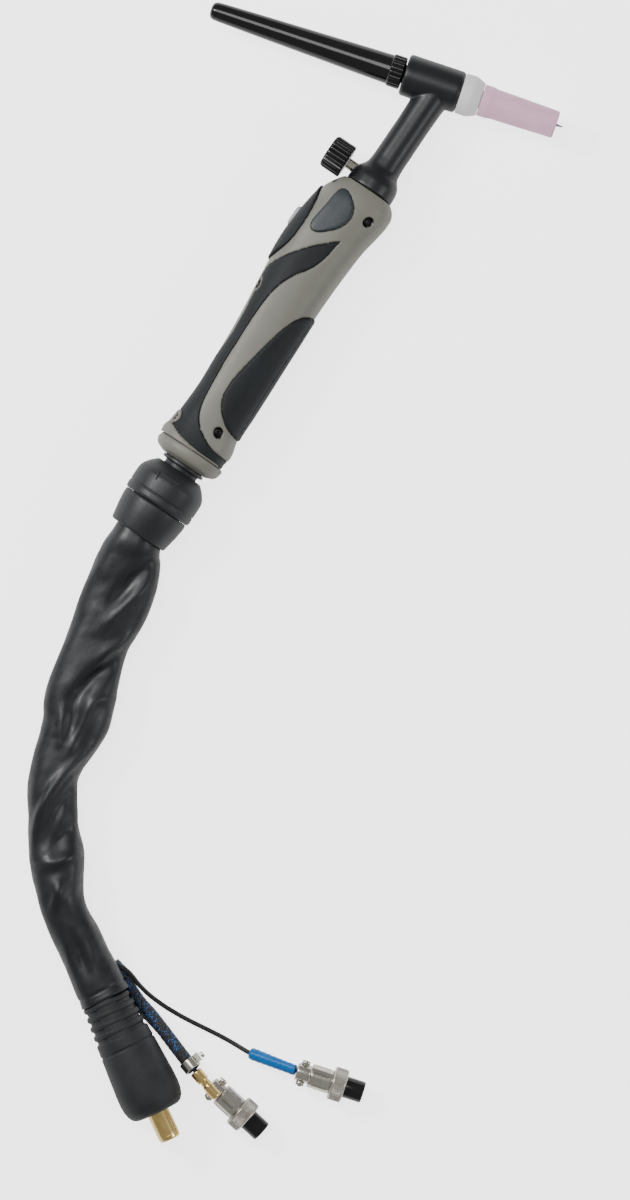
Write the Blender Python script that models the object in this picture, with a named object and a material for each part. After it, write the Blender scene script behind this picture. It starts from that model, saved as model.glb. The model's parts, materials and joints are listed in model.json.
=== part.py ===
"""TIG welding torch lying on its side, with its cable cover, power plug, gas hose and control leads.

Dimensions are in millimetres and are turned into metres where meshes are made. Handle
coordinates are used throughout: Y runs up the handle axis from the rear flange, X points to
the cup side and Z up from the surface that the torch lies on. SHIFT moves the finished
model so that its origin is under the middle of the rigid torch.
"""

import math

import bmesh
import bpy
from mathutils import Vector

MM = 0.001
GAP = 0.3
SIDES = 24
SMALL_SIDES = 12
SHIFT = Vector((30.35, -110.55, 0.0))

# Torch body
AXIS_Z = 20.8
HEAD_CENTRE = Vector((-4.1, 247.9, AXIS_Z))
HEAD_TILT = math.radians(15.5)
HEAD_AXIS = Vector((math.cos(HEAD_TILT), math.sin(HEAD_TILT), 0))
HEAD_R = 11.8
HEAD_HALF = 16.5
BORE_R = 7.2
NECK_R = 9.7
COLLAR_R = 14.3
HANDLE_TOP = 177.3
HANDLE_BOTTOM = 2.4
WALL = 3.0
GRIP_LIFT = 0.7
SECTION_POWER = 2.35
ELECTRODE_R = 1.2

# Knuckle
BALL_Y = -24.0
BALL_R = 14.0
HOUSING_R = 20.8
CUFF_END = -53.5

# Control and gas leads
HOSE_R = 3.75
WIRE_R = 1.3
COVER_R = 15.4

Y_AXIS = Vector((0, 1, 0))
Z_AXIS = Vector((0, 0, 1))
X_AXIS = Vector((1, 0, 0))

# Handle outline seen from above: height along the axis, left edge, right edge, half depth.
OUTLINE = [
    (2.4, -19.3, 18.0, 18.6),
    (10, -19.6, 19.4, 18.6),
    (20, -19.1, 17.4, 18.0),
    (36, -18.6, 16.9, 17.5),
    (52, -19.4, 16.5, 17.3),
    (68, -20.2, 16.0, 17.3),
    (84, -21.5, 15.6, 17.5),
    (100, -23.3, 15.1, 17.8),
    (116, -25.0, 15.2, 18.1),
    (132, -26.0, 15.8, 18.4),
    (148, -25.2, 16.9, 18.6),
    (160, -23.6, 19.0, 18.6),
    (167, -22.2, 19.9, 18.2),
    (173, -19.0, 19.2, 17.0),
    (177.3, -16.4, 15.4, 14.9),
]

# Soft grip outlines on the upper half: height, left edge, right edge.
SWOOSH = [
    (3.0, 4.0, 16.5), (4.6, -6.5, 17.2), (6.4, -13.0, 17.0), (8.0, -18.0, 13.0), (9.6, -30, 5.5),
    (12.5, -30, 0.0),
    (18, -30, -6.0), (24, -30, -9.5), (32, -30, -11.2), (44, -30, -12.2), (58, -18.6, -13.1),
    (70, -19.6, -13.5), (82, -20.9, -13.8), (94, -22.5, -13.4), (102, -23.2, -12.3),
    (110, -23.6, -9.6), (116, -21.6, -6.0), (122, -17.4, -2.2), (127, -13.4, 0.5),
    (134, -7.4, 2.2), (139, -2.6, 2.6), (142.6, 1.6, 2.9),
]
LEAF = [
    (22.0, 10.5, 30), (26, 5.0, 30), (30.5, 0.8, 30), (36, -1.8, 30), (44, -3.0, 30),
    (52, -2.2, 30), (62, -0.6, 30), (72, 1.2, 30), (84, 4.0, 30), (91, 6.0, 30),
    (96, 8.4, 30), (99, 11.2, 30),
]
STRIP = [(117.5, -24.2), (125, -21.6), (132, -20.2), (142, -19.8), (152, -20.0), (159, -20.9), (165, -21.6)]
BADGE = [
    (141.2, -13.6, -11.4), (144, -15.6, -7.4), (148, -15.7, -3.2), (153, -14.9, -0.4),
    (158, -14.2, 0.7), (163, -13.5, -0.2), (166.5, -13.0, -3.2), (169.6, -11.6, -7.6),
]

# Routes of the free cords, from the end they leave to the piece they carry.
COVER_ROUTE = [
    (1.7, -57.8, 20.3), (2.6, -63.5, 19.8), (4.6, -69.5, 19.2), (7.6, -79.5, 18.2), (10.1, -91, 17.0),
    (12.2, -103, 16.2), (14.2, -115.5, 15.8), (17.0, -127, 15.7), (20.6, -138, 15.7),
    (24.6, -149, 15.7), (28.4, -160, 15.7), (31.2, -171.5, 15.7), (33.6, -183, 15.7),
    (37.4, -194, 15.7), (43.0, -204, 15.7), (49.8, -213, 15.7), (57.0, -221.5, 15.7),
    (64.2, -230, 15.7), (71.3, -239, 15.7), (79.0, -247.5, 15.7), (88.6, -254.5, 15.8),
    (99.6, -260.6, 15.9), (110.8, -267.6, 16.1), (121.8, -274.2, 16.4),
]
HOSE_ROUTE = [
    (132.4, -263.8, 6.7), (139, -267.9, 6.8), (147.5, -271.2, 8.0), (157, -273.4, 10.2),
    (166, -276.0, 12.9), (175.5, -279.0, 15.6), (186, -282.2, 18.4), (194.0, -284.5, 20.0),
]
WIRE_ROUTE_1 = [
    (132.8, -260.4, 11.6), (142.5, -263.6, 7.6), (151, -265.4, 4.4), (160, -266.0, 2.4),
    (168, -265.8, 1.7), (176, -265.1, 1.6), (186, -263.8, 1.6), (195, -262.6, 1.7),
    (203, -261.8, 2.1), (209, -261.4, 2.8), (214.8, -260.9, 3.9),
]
WIRE_ROUTE_2 = [
    (130, -268.5, 1.7), (140, -273.0, 1.7), (152, -276.4, 1.7), (165, -279.5, 1.8),
    (178, -282.8, 2.6), (190, -285.3, 5.2), (198, -286.3, 8.0), (206.0, -287.1, 9.6),
]

BOOT_TOP = Vector((124.0, -276.0, 16.4))
BOOT_AXIS = Vector((0.860, -0.511, 0.034)).normalized()
FITTING_AXIS = Vector((0.965, -0.262, 0.03)).normalized()
CONNECTORS = {
    1: (Vector((242.4, -253.9, 9.7)), Vector((0.962, 0.271, 0)).normalized()),
    2: (Vector((206.6, -287.2, 9.7)), Vector((0.988, -0.153, 0)).normalized()),
}
SHRINK_START = Vector((215.2, -260.9, 4.0))

# Colour, roughness, metallic
FINISHES = {
    "black_moulding": ((0.010, 0.011, 0.013), 0.45, 0),
    "handle_grey": ((0.262, 0.255, 0.220), 0.55, 0),
    "soft_grip": ((0.017, 0.021, 0.024), 0.70, 0),
    "badge": ((0.070, 0.092, 0.104), 0.5, 0),
    "button_grey": ((0.45, 0.45, 0.44), 0.5, 0),
    "ceramic_white": ((0.72, 0.72, 0.70), 0.4, 0),
    "ceramic_pink": ((0.80, 0.48, 0.56), 0.5, 0),
    "gloss_black": ((0.006, 0.006, 0.007), 0.15, 0),
    "rubber": ((0.020, 0.022, 0.024), 0.8, 0),
    "cover_cloth": ((0.018, 0.020, 0.023), 0.5, 0),
    "brass": ((0.70, 0.47, 0.16), 0.3, 1),
    "copper": ((0.72, 0.36, 0.20), 0.35, 1),
    "nickel": ((0.55, 0.52, 0.47), 0.35, 1),
    "tungsten": ((0.42, 0.42, 0.43), 0.4, 1),
    "braid": ((0.010, 0.012, 0.020), 0.6, 0),
    "wire_black": ((0.012, 0.012, 0.013), 0.4, 0),
    "shrink_blue": ((0.004, 0.17, 0.52), 0.35, 0),
}


def clear_scene():
    for obj in list(bpy.data.objects):
        bpy.data.objects.remove(obj, do_unlink=True)


def finish_material(name):
    material = bpy.data.materials.get(name)
    if material is None:
        material = bpy.data.materials.new(name)
        material.use_nodes = True
        colour, roughness, metallic = FINISHES[name]
        shader = material.node_tree.nodes["Principled BSDF"]
        shader.inputs["Base Color"].default_value = (*colour, 1)
        shader.inputs["Roughness"].default_value = roughness
        shader.inputs["Metallic"].default_value = metallic
    return material


def add_object(name, bm, material, origin=Vector(), axis=Z_AXIS):
    """Make an object of a mesh in mm whose own Z axis lies along the given axis."""
    bmesh.ops.remove_doubles(bm, verts=bm.verts, dist=1e-4)
    bmesh.ops.recalc_face_normals(bm, faces=bm.faces)
    if bm.calc_volume(signed=True) < 0:
        bmesh.ops.reverse_faces(bm, faces=bm.faces)
    bmesh.ops.scale(bm, vec=(MM, MM, MM), verts=bm.verts)
    mesh = bpy.data.meshes.new(name)
    bm.to_mesh(mesh)
    bm.free()
    mesh.shade_smooth()
    mesh.set_sharp_from_angle(angle=math.radians(35))
    mesh.materials.append(finish_material(material))
    obj = bpy.data.objects.new(name, mesh)
    bpy.context.collection.objects.link(obj)
    obj.location = (Vector(origin) + SHIFT) * MM
    obj.rotation_mode = "QUATERNION"
    obj.rotation_quaternion = Z_AXIS.rotation_difference(Vector(axis))
    return obj


def turned(name, profile, material, origin=Vector(), axis=Z_AXIS, sides=SIDES):
    """Turn a profile of (height, radius) points. One that leaves the axis and comes back is solid."""
    bm = bmesh.new()
    points = [bm.verts.new((radius, 0, height)) for height, radius in profile]
    edges = [bm.edges.new(pair) for pair in zip(points, points[1:])]
    if profile[0][1] > 0:
        edges.append(bm.edges.new((points[-1], points[0])))
    bmesh.ops.spin(bm, geom=points + edges, axis=(0, 0, 1), cent=(0, 0, 0), angle=math.tau,
                   steps=sides, use_merge=True)
    return add_object(name, bm, material, origin, axis)


def solid_profile(points):
    """Close a radius profile onto the axis at both ends."""
    return [(points[0][0], 0)] + list(points) + [(points[-1][0], 0)]


def tube_profile(start, end, outer, inner):
    return [(start, inner), (start, outer), (end, outer), (end, inner)]


def block(name, size, material, origin, axis=Z_AXIS):
    bm = bmesh.new()
    bmesh.ops.create_cube(bm, size=1)
    bmesh.ops.scale(bm, vec=size, verts=bm.verts)
    return add_object(name, bm, material, origin, axis)


def combine(obj, operation, helper):
    """Cut a helper away from an object, or join it on."""
    helper.hide_render = True
    helper.display_type = "WIRE"
    modifier = obj.modifiers.new(helper.name, "BOOLEAN")
    modifier.operation = operation
    modifier.solver = "EXACT"
    modifier.object = helper
    return obj


def smooth_route(route, spacing):
    """Evenly spaced points on the Catmull-Rom curve through a route."""
    knots = [Vector(p) for p in route]
    knots = [2 * knots[0] - knots[1]] + knots + [2 * knots[-1] - knots[-2]]
    fine = []
    for a, b, c, d in zip(knots, knots[1:], knots[2:], knots[3:]):
        for step in range(20):
            t = step / 20
            fine.append(0.5 * (2 * b + (c - a) * t + (2 * a - 5 * b + 4 * c - d) * t * t
                               + (3 * b - a - 3 * c + d) * t ** 3))
    fine.append(knots[-2])
    lengths = [0.0]
    for a, b in zip(fine, fine[1:]):
        lengths.append(lengths[-1] + (b - a).length)
    count = max(3, round(lengths[-1] / spacing))
    points, place = [], 0
    for index in range(count + 1):
        target = lengths[-1] * index / count
        while place < len(fine) - 2 and lengths[place + 1] < target:
            place += 1
        share = (target - lengths[place]) / (lengths[place + 1] - lengths[place])
        points.append(fine[place].lerp(fine[place + 1], min(share, 1)))
    return points


def cord_tube(name, route, radius, spacing, material, resolution=2):
    curve = bpy.data.curves.new(name, "CURVE")
    curve.dimensions = "3D"
    curve.bevel_depth = radius * MM
    curve.bevel_resolution = resolution
    curve.use_fill_caps = True
    spline = curve.splines.new("POLY")
    points = smooth_route(route, spacing)
    spline.points.add(len(points) - 1)
    for target, point in zip(spline.points, points):
        target.co = (*((point + SHIFT) * MM), 1)
    curve.materials.append(finish_material(material))
    obj = bpy.data.objects.new(name, curve)
    bpy.context.collection.objects.link(obj)
    return points


def between(table, height):
    """Read the columns of a table at a height."""
    for low, high in zip(table, table[1:]):
        if height <= high[0]:
            share = max(0.0, (height - low[0]) / (high[0] - low[0]))
            return [a + (b - a) * share for a, b in zip(low[1:], high[1:])]
    return list(table[-1][1:])


def section_point(height, angle, offset=0.0):
    """A point of the handle's skin, moved out along its normal by an offset."""
    left, right, depth = between(OUTLINE, height)
    middle, half = (left + right) / 2, (right - left) / 2
    power = 2 / SECTION_POWER
    c, s = math.cos(angle), math.sin(angle)
    u = math.copysign(abs(c) ** power, c)
    w = math.copysign(abs(s) ** power, s)
    normal = Vector((math.copysign(abs(u) ** (SECTION_POWER - 1), u) / half,
                     math.copysign(abs(w) ** (SECTION_POWER - 1), w) / depth)).normalized()
    return Vector((middle + half * u + normal.x * offset, height,
                   AXIS_Z + depth * w + normal.y * offset))


def section_angle(height, x):
    """The angle on the upper half at which the handle's skin is at x."""
    left, right, _ = between(OUTLINE, height)
    u = max(-1.0, min(1.0, (2 * x - left - right) / (right - left)))
    return math.acos(math.copysign(abs(u) ** (SECTION_POWER / 2), u))


def shell_grid(rows):
    """Close a grid of rings, each a closed loop of points, into one body."""
    bm = bmesh.new()
    rings = [[bm.verts.new(p) for p in ring] for ring in rows]
    for ring, following in zip(rings, rings[1:]):
        for index in range(len(ring)):
            other = (index + 1) % len(ring)
            bm.faces.new((ring[index], ring[other], following[other], following[index]))
    for end in (rings[0], rings[-1]):
        half = len(end) // 2
        for index in range(half - 1):
            bm.faces.new((end[index], end[index + 1], end[-2 - index], end[-1 - index]))
    return bm


def make_shell(name, side):
    """Half of the handle, parted along its middle plane. Side is 1 above and -1 below."""
    rows = []
    steps = 12
    for height, *_ in OUTLINE:
        outer, inner = [], []
        for step in range(steps + 1):
            angle = side * math.pi * step / steps
            skin = section_point(height, angle)
            lining = section_point(height, angle, -WALL)
            for point in (skin, lining):
                point.z = AXIS_Z + side * max(side * (point.z - AXIS_Z), GAP / 2)
            outer.append(skin)
            inner.append(lining)
        rows.append(outer + inner[::-1])
    return add_object(name, shell_grid(rows), "handle_grey")


def patch(name, material, rows, thickness=0.6):
    """A thin plate that follows the handle's skin. Each row is a height and its two end angles."""
    loops = []
    across = 6
    for height, start, end in rows:
        angles = [start + (end - start) * step / across for step in range(across + 1)]
        low = [section_point(height, angle, GRIP_LIFT) for angle in angles]
        high = [section_point(height, angle, GRIP_LIFT + thickness) for angle in angles]
        loops.append(low + high[::-1])
    return add_object(name, shell_grid(loops), material)


def make_grips():
    edge = 0.012 * math.pi
    for side, word in ((1, "upper"), (-1, "lower")):
        for label, table in (("swoosh_grip", SWOOSH), ("leaf_grip", LEAF)):
            rows = []
            for height, left, right in table:
                start = max(edge, section_angle(height, right))
                end = min(math.pi - edge, section_angle(height, left))
                rows.append((height, side * start, side * end))
            patch(f"{label}_{word}", "soft_grip", rows)
        rows = [(h, side * section_angle(h, r), side * section_angle(h, l)) for h, l, r in BADGE]
        patch(f"badge_{word}", "badge", rows, 0.5)
    rows = [(h, section_angle(h, x), math.tau - section_angle(h, x)) for h, x in STRIP]
    return patch("button_surround", "soft_grip", rows)


SCREWS = [(10.5, 162), (6.8, 18.4), (-22.2, 100), (-18.2, 12.8)]
SCREW_HEAD_R = 2.7
SCREW_HOLE_R = 3.1


def screw_place(x, height):
    """Skin point and outward normal of a handle screw."""
    angle = section_angle(height, x)
    skin = section_point(height, angle)
    return skin, (section_point(height, angle, 1) - skin).normalized()


def make_handle():
    upper = make_shell("handle_shell_upper", 1)
    lower = make_shell("handle_shell_lower", -1)
    surround = make_grips()
    window = block("button_window", (20, 13.6, 10), "rubber", (-30, 143.3, AXIS_Z))
    for obj in (upper, lower, surround):
        combine(obj, "DIFFERENCE", window)
    swoosh = bpy.data.objects["swoosh_grip_upper"]
    for number, (x, height) in enumerate(SCREWS, 1):
        skin, normal = screw_place(x, height)
        hole = turned(f"screw_hole_{number}", solid_profile([(-9, SCREW_HOLE_R), (6, SCREW_HOLE_R)]),
                      "rubber", skin, normal, SMALL_SIDES)
        combine(upper, "DIFFERENCE", hole)
        if x < -15:
            ring = turned(f"screw_ring_cut_{number}", solid_profile([(-0.1, 4.4), (6, 4.4)]),
                          "rubber", skin, normal, SMALL_SIDES)
            combine(swoosh, "DIFFERENCE", ring)
        turned(f"handle_screw_{number}",
               solid_profile([(-8.5, 1.2), (-3.6, 1.2), (-3.6, SCREW_HEAD_R), (-1.4, SCREW_HEAD_R),
                              (-1.0, SCREW_HEAD_R - 0.5)]),
               "nickel", skin, normal, SMALL_SIDES)
    turned("rear_flange", [(-6.5, 13.6), (-4.4, 18.6), (-1.5, 20.4), (1.2, 20.4), (2.1, 19.6),
                           (2.1, 11.0), (-6.5, 11.0)][::-1],
           "handle_grey", (0, 0, AXIS_Z), Y_AXIS, SIDES)
    block("trigger_button", (7.2, 12.6, 9.0), "button_grey", (-24.5, 143.3, AXIS_Z))
    block("microswitch", (5.6, 12.0, 6.4), "gloss_black", (-16.8, 143.3, AXIS_Z))
    turned("power_cable_core", solid_profile([(-5.0, 5.2), (118.0, 5.2)]), "copper",
           (0, 0, AXIS_Z), Y_AXIS, SMALL_SIDES)


def along_head(distance):
    return HEAD_CENTRE + HEAD_AXIS * distance


def make_head():
    cover = turned("head_cover",
                   solid_profile([(177.6, COLLAR_R - 0.4), (178.4, COLLAR_R), (182.5, COLLAR_R - 0.6),
                                  (186, 12.2), (190, 10.4), (195, NECK_R), (244, NECK_R - 0.2)]),
                   "black_moulding", (0, 0, AXIS_Z), Y_AXIS)
    barrel = turned("head_barrel",
                    solid_profile([(-HEAD_HALF, HEAD_R - 1.4), (-HEAD_HALF + 1.6, HEAD_R),
                                   (HEAD_HALF, HEAD_R)]),
                    "black_moulding", HEAD_CENTRE, HEAD_AXIS)
    seat_floor = -HEAD_HALF + 2.4
    bore = turned("head_bore",
                  solid_profile([(-20, 8.6), (seat_floor, 8.6), (seat_floor, BORE_R), (20, BORE_R)]),
                  "rubber", HEAD_CENTRE, HEAD_AXIS)
    neck_bore = turned("neck_bore", solid_profile([(170, 4.9), (245, 4.9)]), "rubber",
                       (0, 0, AXIS_Z), Y_AXIS, SMALL_SIDES)
    shaft_bore = turned("shaft_bore", solid_profile([(6.4, 3.5), (20, 3.5)]), "rubber",
                        (0, KNOB_Y, AXIS_Z), -X_AXIS, SMALL_SIDES)
    combine(cover, "UNION", barrel)
    for helper in (bore, neck_bore, shaft_bore):
        combine(cover, "DIFFERENCE", helper)

    turned("neck_tube", tube_profile(119.0, 239.5, 4.5, 3.0), "copper", (0, 0, AXIS_Z), Y_AXIS,
           SMALL_SIDES)
    turned("head_core", tube_profile(-13.5, HEAD_HALF, 6.85, 5.5), "brass", HEAD_CENTRE, HEAD_AXIS)
    turned("insulator", [(16.8, 5.6), (16.8, 11.7), (22.6, 11.7), (28.4, 9.4), (28.4, 5.6)],
           "ceramic_white", HEAD_CENTRE, HEAD_AXIS)
    turned("gas_cup", [(28.7, 5.6), (28.7, 8.9), (34, 8.9), (36, 8.5), (72.5, 7.6), (73, 7.3),
                       (73, 5.9), (60, 5.9)],
           "ceramic_pink", HEAD_CENTRE, HEAD_AXIS)
    turned("collet_body", [(2, 2.5), (2, 5.15), (50, 5.15), (54, 3.6), (54, 1.6), (50, 1.6), (44, 2.5)],
           "copper", HEAD_CENTRE, HEAD_AXIS, 16)
    turned("collet", tube_profile(-14, 43.6, 2.1, 1.55), "copper", HEAD_CENTRE, HEAD_AXIS, 16)
    turned("electrode", solid_profile([(-96, ELECTRODE_R), (71, ELECTRODE_R), (77, 0.25)]),
           "tungsten", HEAD_CENTRE, HEAD_AXIS, SMALL_SIDES)
    turned("back_cap", [(-104, 0), (-104, 2.5), (-5.5, 2.5), (-5.5, 5.1), (-16.9, 5.1), (-17.2, 8.4),
                        (-17.6, 9.2), (-24.0, 9.2), (-24.6, 8.4), (-40, 8.0), (-128, 5.2),
                        (-130.5, 3.8), (-130.8, 0)],
           "gloss_black", HEAD_CENTRE, HEAD_AXIS)
    ring = [(-15.5 + 0.95 * math.cos(a), 6.9 + 0.95 * math.sin(a))
            for a in (math.tau * k / 8 for k in range(8))]
    turned("cap_oring", ring, "rubber", HEAD_CENTRE, HEAD_AXIS, 16)


KNOB_Y = 184.6


def make_knob():
    place = (0, KNOB_Y, AXIS_Z)
    turned("potentiometer", solid_profile([(6.8, 3.1), (18.6, 3.1)]), "nickel", place, -X_AXIS,
           SMALL_SIDES)
    rim, root, flutes = 9.8, 9.0, 16
    bm = bmesh.new()
    outline = []
    for index in range(flutes * 2):
        angle = math.tau * index / (flutes * 2)
        radius = rim if index % 2 else root
        outline.append((radius * math.cos(angle), radius * math.sin(angle)))
    loops = [[bm.verts.new((x * scale, y * scale, z)) for x, y in outline]
             for z, scale in ((18.9, 1), (30.6, 1), (31.6, 0.9))]
    for loop, following in zip(loops, loops[1:]):
        for index in range(len(loop)):
            other = (index + 1) % len(loop)
            bm.faces.new((loop[index], loop[other], following[other], following[index]))
    bm.faces.new(loops[0][::-1])
    bm.faces.new(loops[-1])
    add_object("control_knob", bm, "gloss_black", place, -X_AXIS)


def make_knuckle():
    centre = (0, BALL_Y, AXIS_Z)
    ball = [(BALL_R * math.sin(a), BALL_R * math.cos(a)) for a in
            (math.radians(d) for d in range(-50, 41, 15))]
    turned("knuckle_ball",
           [(ball[0][0], 7.0)] + ball + [(10.6, 10.4), (15.4, 10.4), (15.4, 12.9), (17.2, 12.9), (17.2, 7.0)],
           "black_moulding", centre, Y_AXIS, 16)
    turned("knuckle_housing",
           [(12.2, 12.4), (12.2, 13.4), (5.5, 20.0), (3.0, HOUSING_R), (-9.8, HOUSING_R), (-10.4, 19.6),
            (-10.4, 15.2), (4.0, 15.2), (8.2, 13.4)][::-1],
           "black_moulding", centre, Y_AXIS)
    turned("rear_cuff",
           [(-10.9, 13.5), (-10.9, 19.8), (-14, 19.9), (-29.0, 17.2), (-29.5, 16.6), (-29.5, 13.5)][::-1],
           "black_moulding", centre, Y_AXIS)


def make_plug():
    rows = [(0, 11.4), (1.6, 12.4)]
    for rib in range(5):
        start = 5 + rib * 5.4
        base = 12.7 + 0.085 * (start + 2)
        rows += [(start, base), (start + 0.8, base - 1.2), (start + 2.6, base - 1.2), (start + 3.4, base + 0.3)]
    rows += [(34, 15.9), (48, 17.0), (66, 18.4), (72, 18.2), (76, 16.6), (77, 14.8)]
    profile = rows + [(77, 6.6), (14, 6.6), (14, 0), (0, 0)]
    turned("plug_boot", profile[-1:] + profile[:-1], "rubber", BOOT_TOP, BOOT_AXIS, 20)
    turned("plug_pin", [(22, 0), (22, 6.2), (93, 6.2), (94, 5.6), (94, 3.0), (80, 3.0), (80, 0)],
           "brass", BOOT_TOP, BOOT_AXIS)
    turned("cable_lug", solid_profile([(14.4, 5.4), (21.6, 5.4)]), "copper", BOOT_TOP, BOOT_AXIS,
           SMALL_SIDES)


def make_gas_line():
    points = cord_tube("gas_hose", HOSE_ROUTE, HOSE_R, 8, "braid", 3)
    end = points[-1]
    turn = (points[-1] - points[-2]).normalized()
    band = turned("hose_clamp", tube_profile(-6.6, -0.6, 5.0, 4.15), "nickel", end, turn)
    ear = block("clamp_ear", (2.6, 3.4, 5.0), "nickel", end - turn * 3.6 + Vector((1.0, 6.0, 0.6)), turn)
    combine(band, "UNION", ear)
    turned("clamp_screw", solid_profile([(8.1, 1.7), (9.6, 1.7), (10.0, 1.3)]), "nickel",
           end - turn * 3.6 + Vector((0, 0, 0.6)), Vector((0.25, 0.965, 0)), SMALL_SIDES)
    turned("gas_fitting",
           [(1.0, 0), (1.0, 3.5), (8, 3.5), (8.6, 2.5), (11, 2.5), (11.6, 3.0), (19.4, 3.0), (19.8, 2.6),
            (19.8, 1.6), (12, 1.6), (12, 0)],
           "brass", end, FITTING_AXIS, 16)


def make_connector(number, origin, axis):
    side = axis.cross(Z_AXIS).normalized()
    clamp = turned(f"connector_{number}_clamp",
                   solid_profile([(0, 4.6), (0.5, 5.1), (7.6, 5.1)]), "nickel", origin, axis, 16)
    lug = block(f"connector_{number}_lug", (14.4, 4.6, 4.4), "nickel", origin + axis * 3.9, axis)
    lug.rotation_mode = "XYZ"
    lug.rotation_euler = (0, 0, math.atan2(side.y, side.x))
    combine(clamp, "UNION", lug)
    for index, sign in ((1, 1), (2, -1)):
        place = origin + axis * 3.9 + side * (sign * 6.0)
        hole = turned(f"connector_{number}_hole_{index}", solid_profile([(-5, 1.1), (5, 1.1)]),
                      "rubber", place, Z_AXIS, 8)
        combine(clamp, "DIFFERENCE", hole)
        turned(f"connector_{number}_screw_{index}",
               solid_profile([(-1.8, 0.8), (2.6, 0.8), (2.6, 1.7), (3.6, 1.7), (4.0, 1.2)]),
               "nickel", place, Z_AXIS, 8)
    turned(f"connector_{number}_body",
           solid_profile([(7.9, 6.4), (8.3, 6.8), (20.4, 6.8), (20.4, 6.3), (26.8, 6.3)]), "nickel",
           origin, axis)
    turned(f"connector_{number}_ring",
           [(20.8, 6.7), (20.8, 9.0), (21.4, 9.5), (28.0, 9.5), (28.6, 9.0), (28.6, 6.7)], "nickel",
           origin, axis)
    insert = turned(f"connector_{number}_insert", solid_profile([(27.1, 6.1), (39.0, 6.1), (39.4, 5.7)]),
                    "gloss_black", origin, axis)
    key = block(f"connector_{number}_key", (4, 4, 22), "rubber", origin + axis * 41 + side * 6.6, axis)
    combine(insert, "DIFFERENCE", key)


def make_control_leads():
    for number, route in ((1, WIRE_ROUTE_1), (2, WIRE_ROUTE_2)):
        cord_tube(f"control_wire_{number}", route, WIRE_R, 4, "wire_black")
        make_connector(number, *CONNECTORS[number])
    target = CONNECTORS[1][0] - CONNECTORS[1][1] * GAP
    length = (target - SHRINK_START).length
    turned("heat_shrink", solid_profile([(0, 2.6), (0.8, 3.5), (length - 1.2, 3.5), (length - 0.8, 3.3)]),
           "shrink_blue", SHRINK_START, (target - SHRINK_START).normalized(), 16)


def main():
    clear_scene()
    make_handle()
    make_head()
    make_knob()
    make_knuckle()
    cord_tube("cable_cover", COVER_ROUTE, COVER_R, 13, "cover_cloth", 3)
    make_plug()
    make_gas_line()
    make_control_leads()


main()
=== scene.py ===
"""Visual model of the TIG torch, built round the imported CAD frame.

Most pieces are laid out in handle coordinates, in millimetres: Y runs up the handle axis from
the rear flange, X points to the cup side and Z up from the floor. at() turns them into the
row frame in metres.
"""

import math

import bmesh
import bpy
import numpy as np
from mathutils import Matrix, Vector
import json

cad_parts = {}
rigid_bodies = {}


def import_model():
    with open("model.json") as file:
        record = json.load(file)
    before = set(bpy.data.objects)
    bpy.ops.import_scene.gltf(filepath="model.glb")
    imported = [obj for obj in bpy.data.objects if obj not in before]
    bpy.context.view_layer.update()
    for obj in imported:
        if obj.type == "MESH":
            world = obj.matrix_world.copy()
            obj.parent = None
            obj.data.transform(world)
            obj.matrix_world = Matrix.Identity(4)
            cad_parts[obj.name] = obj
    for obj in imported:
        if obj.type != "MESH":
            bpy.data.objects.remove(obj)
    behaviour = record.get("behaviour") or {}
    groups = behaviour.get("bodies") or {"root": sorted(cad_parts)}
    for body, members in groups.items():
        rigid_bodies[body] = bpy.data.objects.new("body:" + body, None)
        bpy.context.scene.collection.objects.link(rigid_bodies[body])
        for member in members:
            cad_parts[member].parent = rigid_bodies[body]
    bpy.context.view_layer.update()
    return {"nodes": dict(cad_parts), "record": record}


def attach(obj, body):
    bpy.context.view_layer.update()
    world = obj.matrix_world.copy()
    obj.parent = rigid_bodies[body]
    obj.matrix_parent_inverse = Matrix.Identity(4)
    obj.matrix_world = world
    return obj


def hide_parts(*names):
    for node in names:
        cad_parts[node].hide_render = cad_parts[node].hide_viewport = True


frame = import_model()

MM = 0.001
SHIFT = Vector((30.35, -110.55, 0.0))
AXIS_Z = 20.8
X_AXIS, Y_AXIS, Z_AXIS = Vector((1, 0, 0)), Vector((0, 1, 0)), Vector((0, 0, 1))
FINE = 96
SHARP = 35  # edges over this many degrees are drawn sharp

HEAD_CENTRE = Vector((-4.1, 247.9, AXIS_Z))
HEAD_TILT = math.radians(15.5)
HEAD_AXIS = Vector((math.cos(HEAD_TILT), math.sin(HEAD_TILT), 0))
KNOB_Y = 184.6
BALL_Y = -24.0
BOOT_TOP = Vector((124.0, -276.0, 16.4))
BOOT_AXIS = Vector((0.860, -0.511, 0.034)).normalized()
FITTING_AXIS = Vector((0.965, -0.262, 0.03)).normalized()
CONNECTORS = {
    1: (Vector((242.4, -253.9, 9.7)), Vector((0.962, 0.271, 0)).normalized()),
    2: (Vector((206.6, -287.2, 9.7)), Vector((0.988, -0.153, 0)).normalized()),
}
SHRINK_START = Vector((215.2, -260.9, 4.0))


def at(point):
    """Handle coordinates in mm as a place in the row frame in metres."""
    return (Vector(point) + SHIFT) * MM


# ---------------------------------------------------------------- materials

def new_material(name, colour, roughness, metallic=0.0, coat=0.0, sheen=0.0, specular=0.5):
    material = bpy.data.materials.new(name)
    material.use_nodes = True
    shader = material.node_tree.nodes["Principled BSDF"]
    shader.inputs["Base Color"].default_value = (*colour, 1)
    shader.inputs["Roughness"].default_value = roughness
    shader.inputs["Metallic"].default_value = metallic
    shader.inputs["Coat Weight"].default_value = coat
    shader.inputs["Sheen Weight"].default_value = sheen
    shader.inputs["Specular IOR Level"].default_value = specular
    return material, material.node_tree, shader


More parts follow.
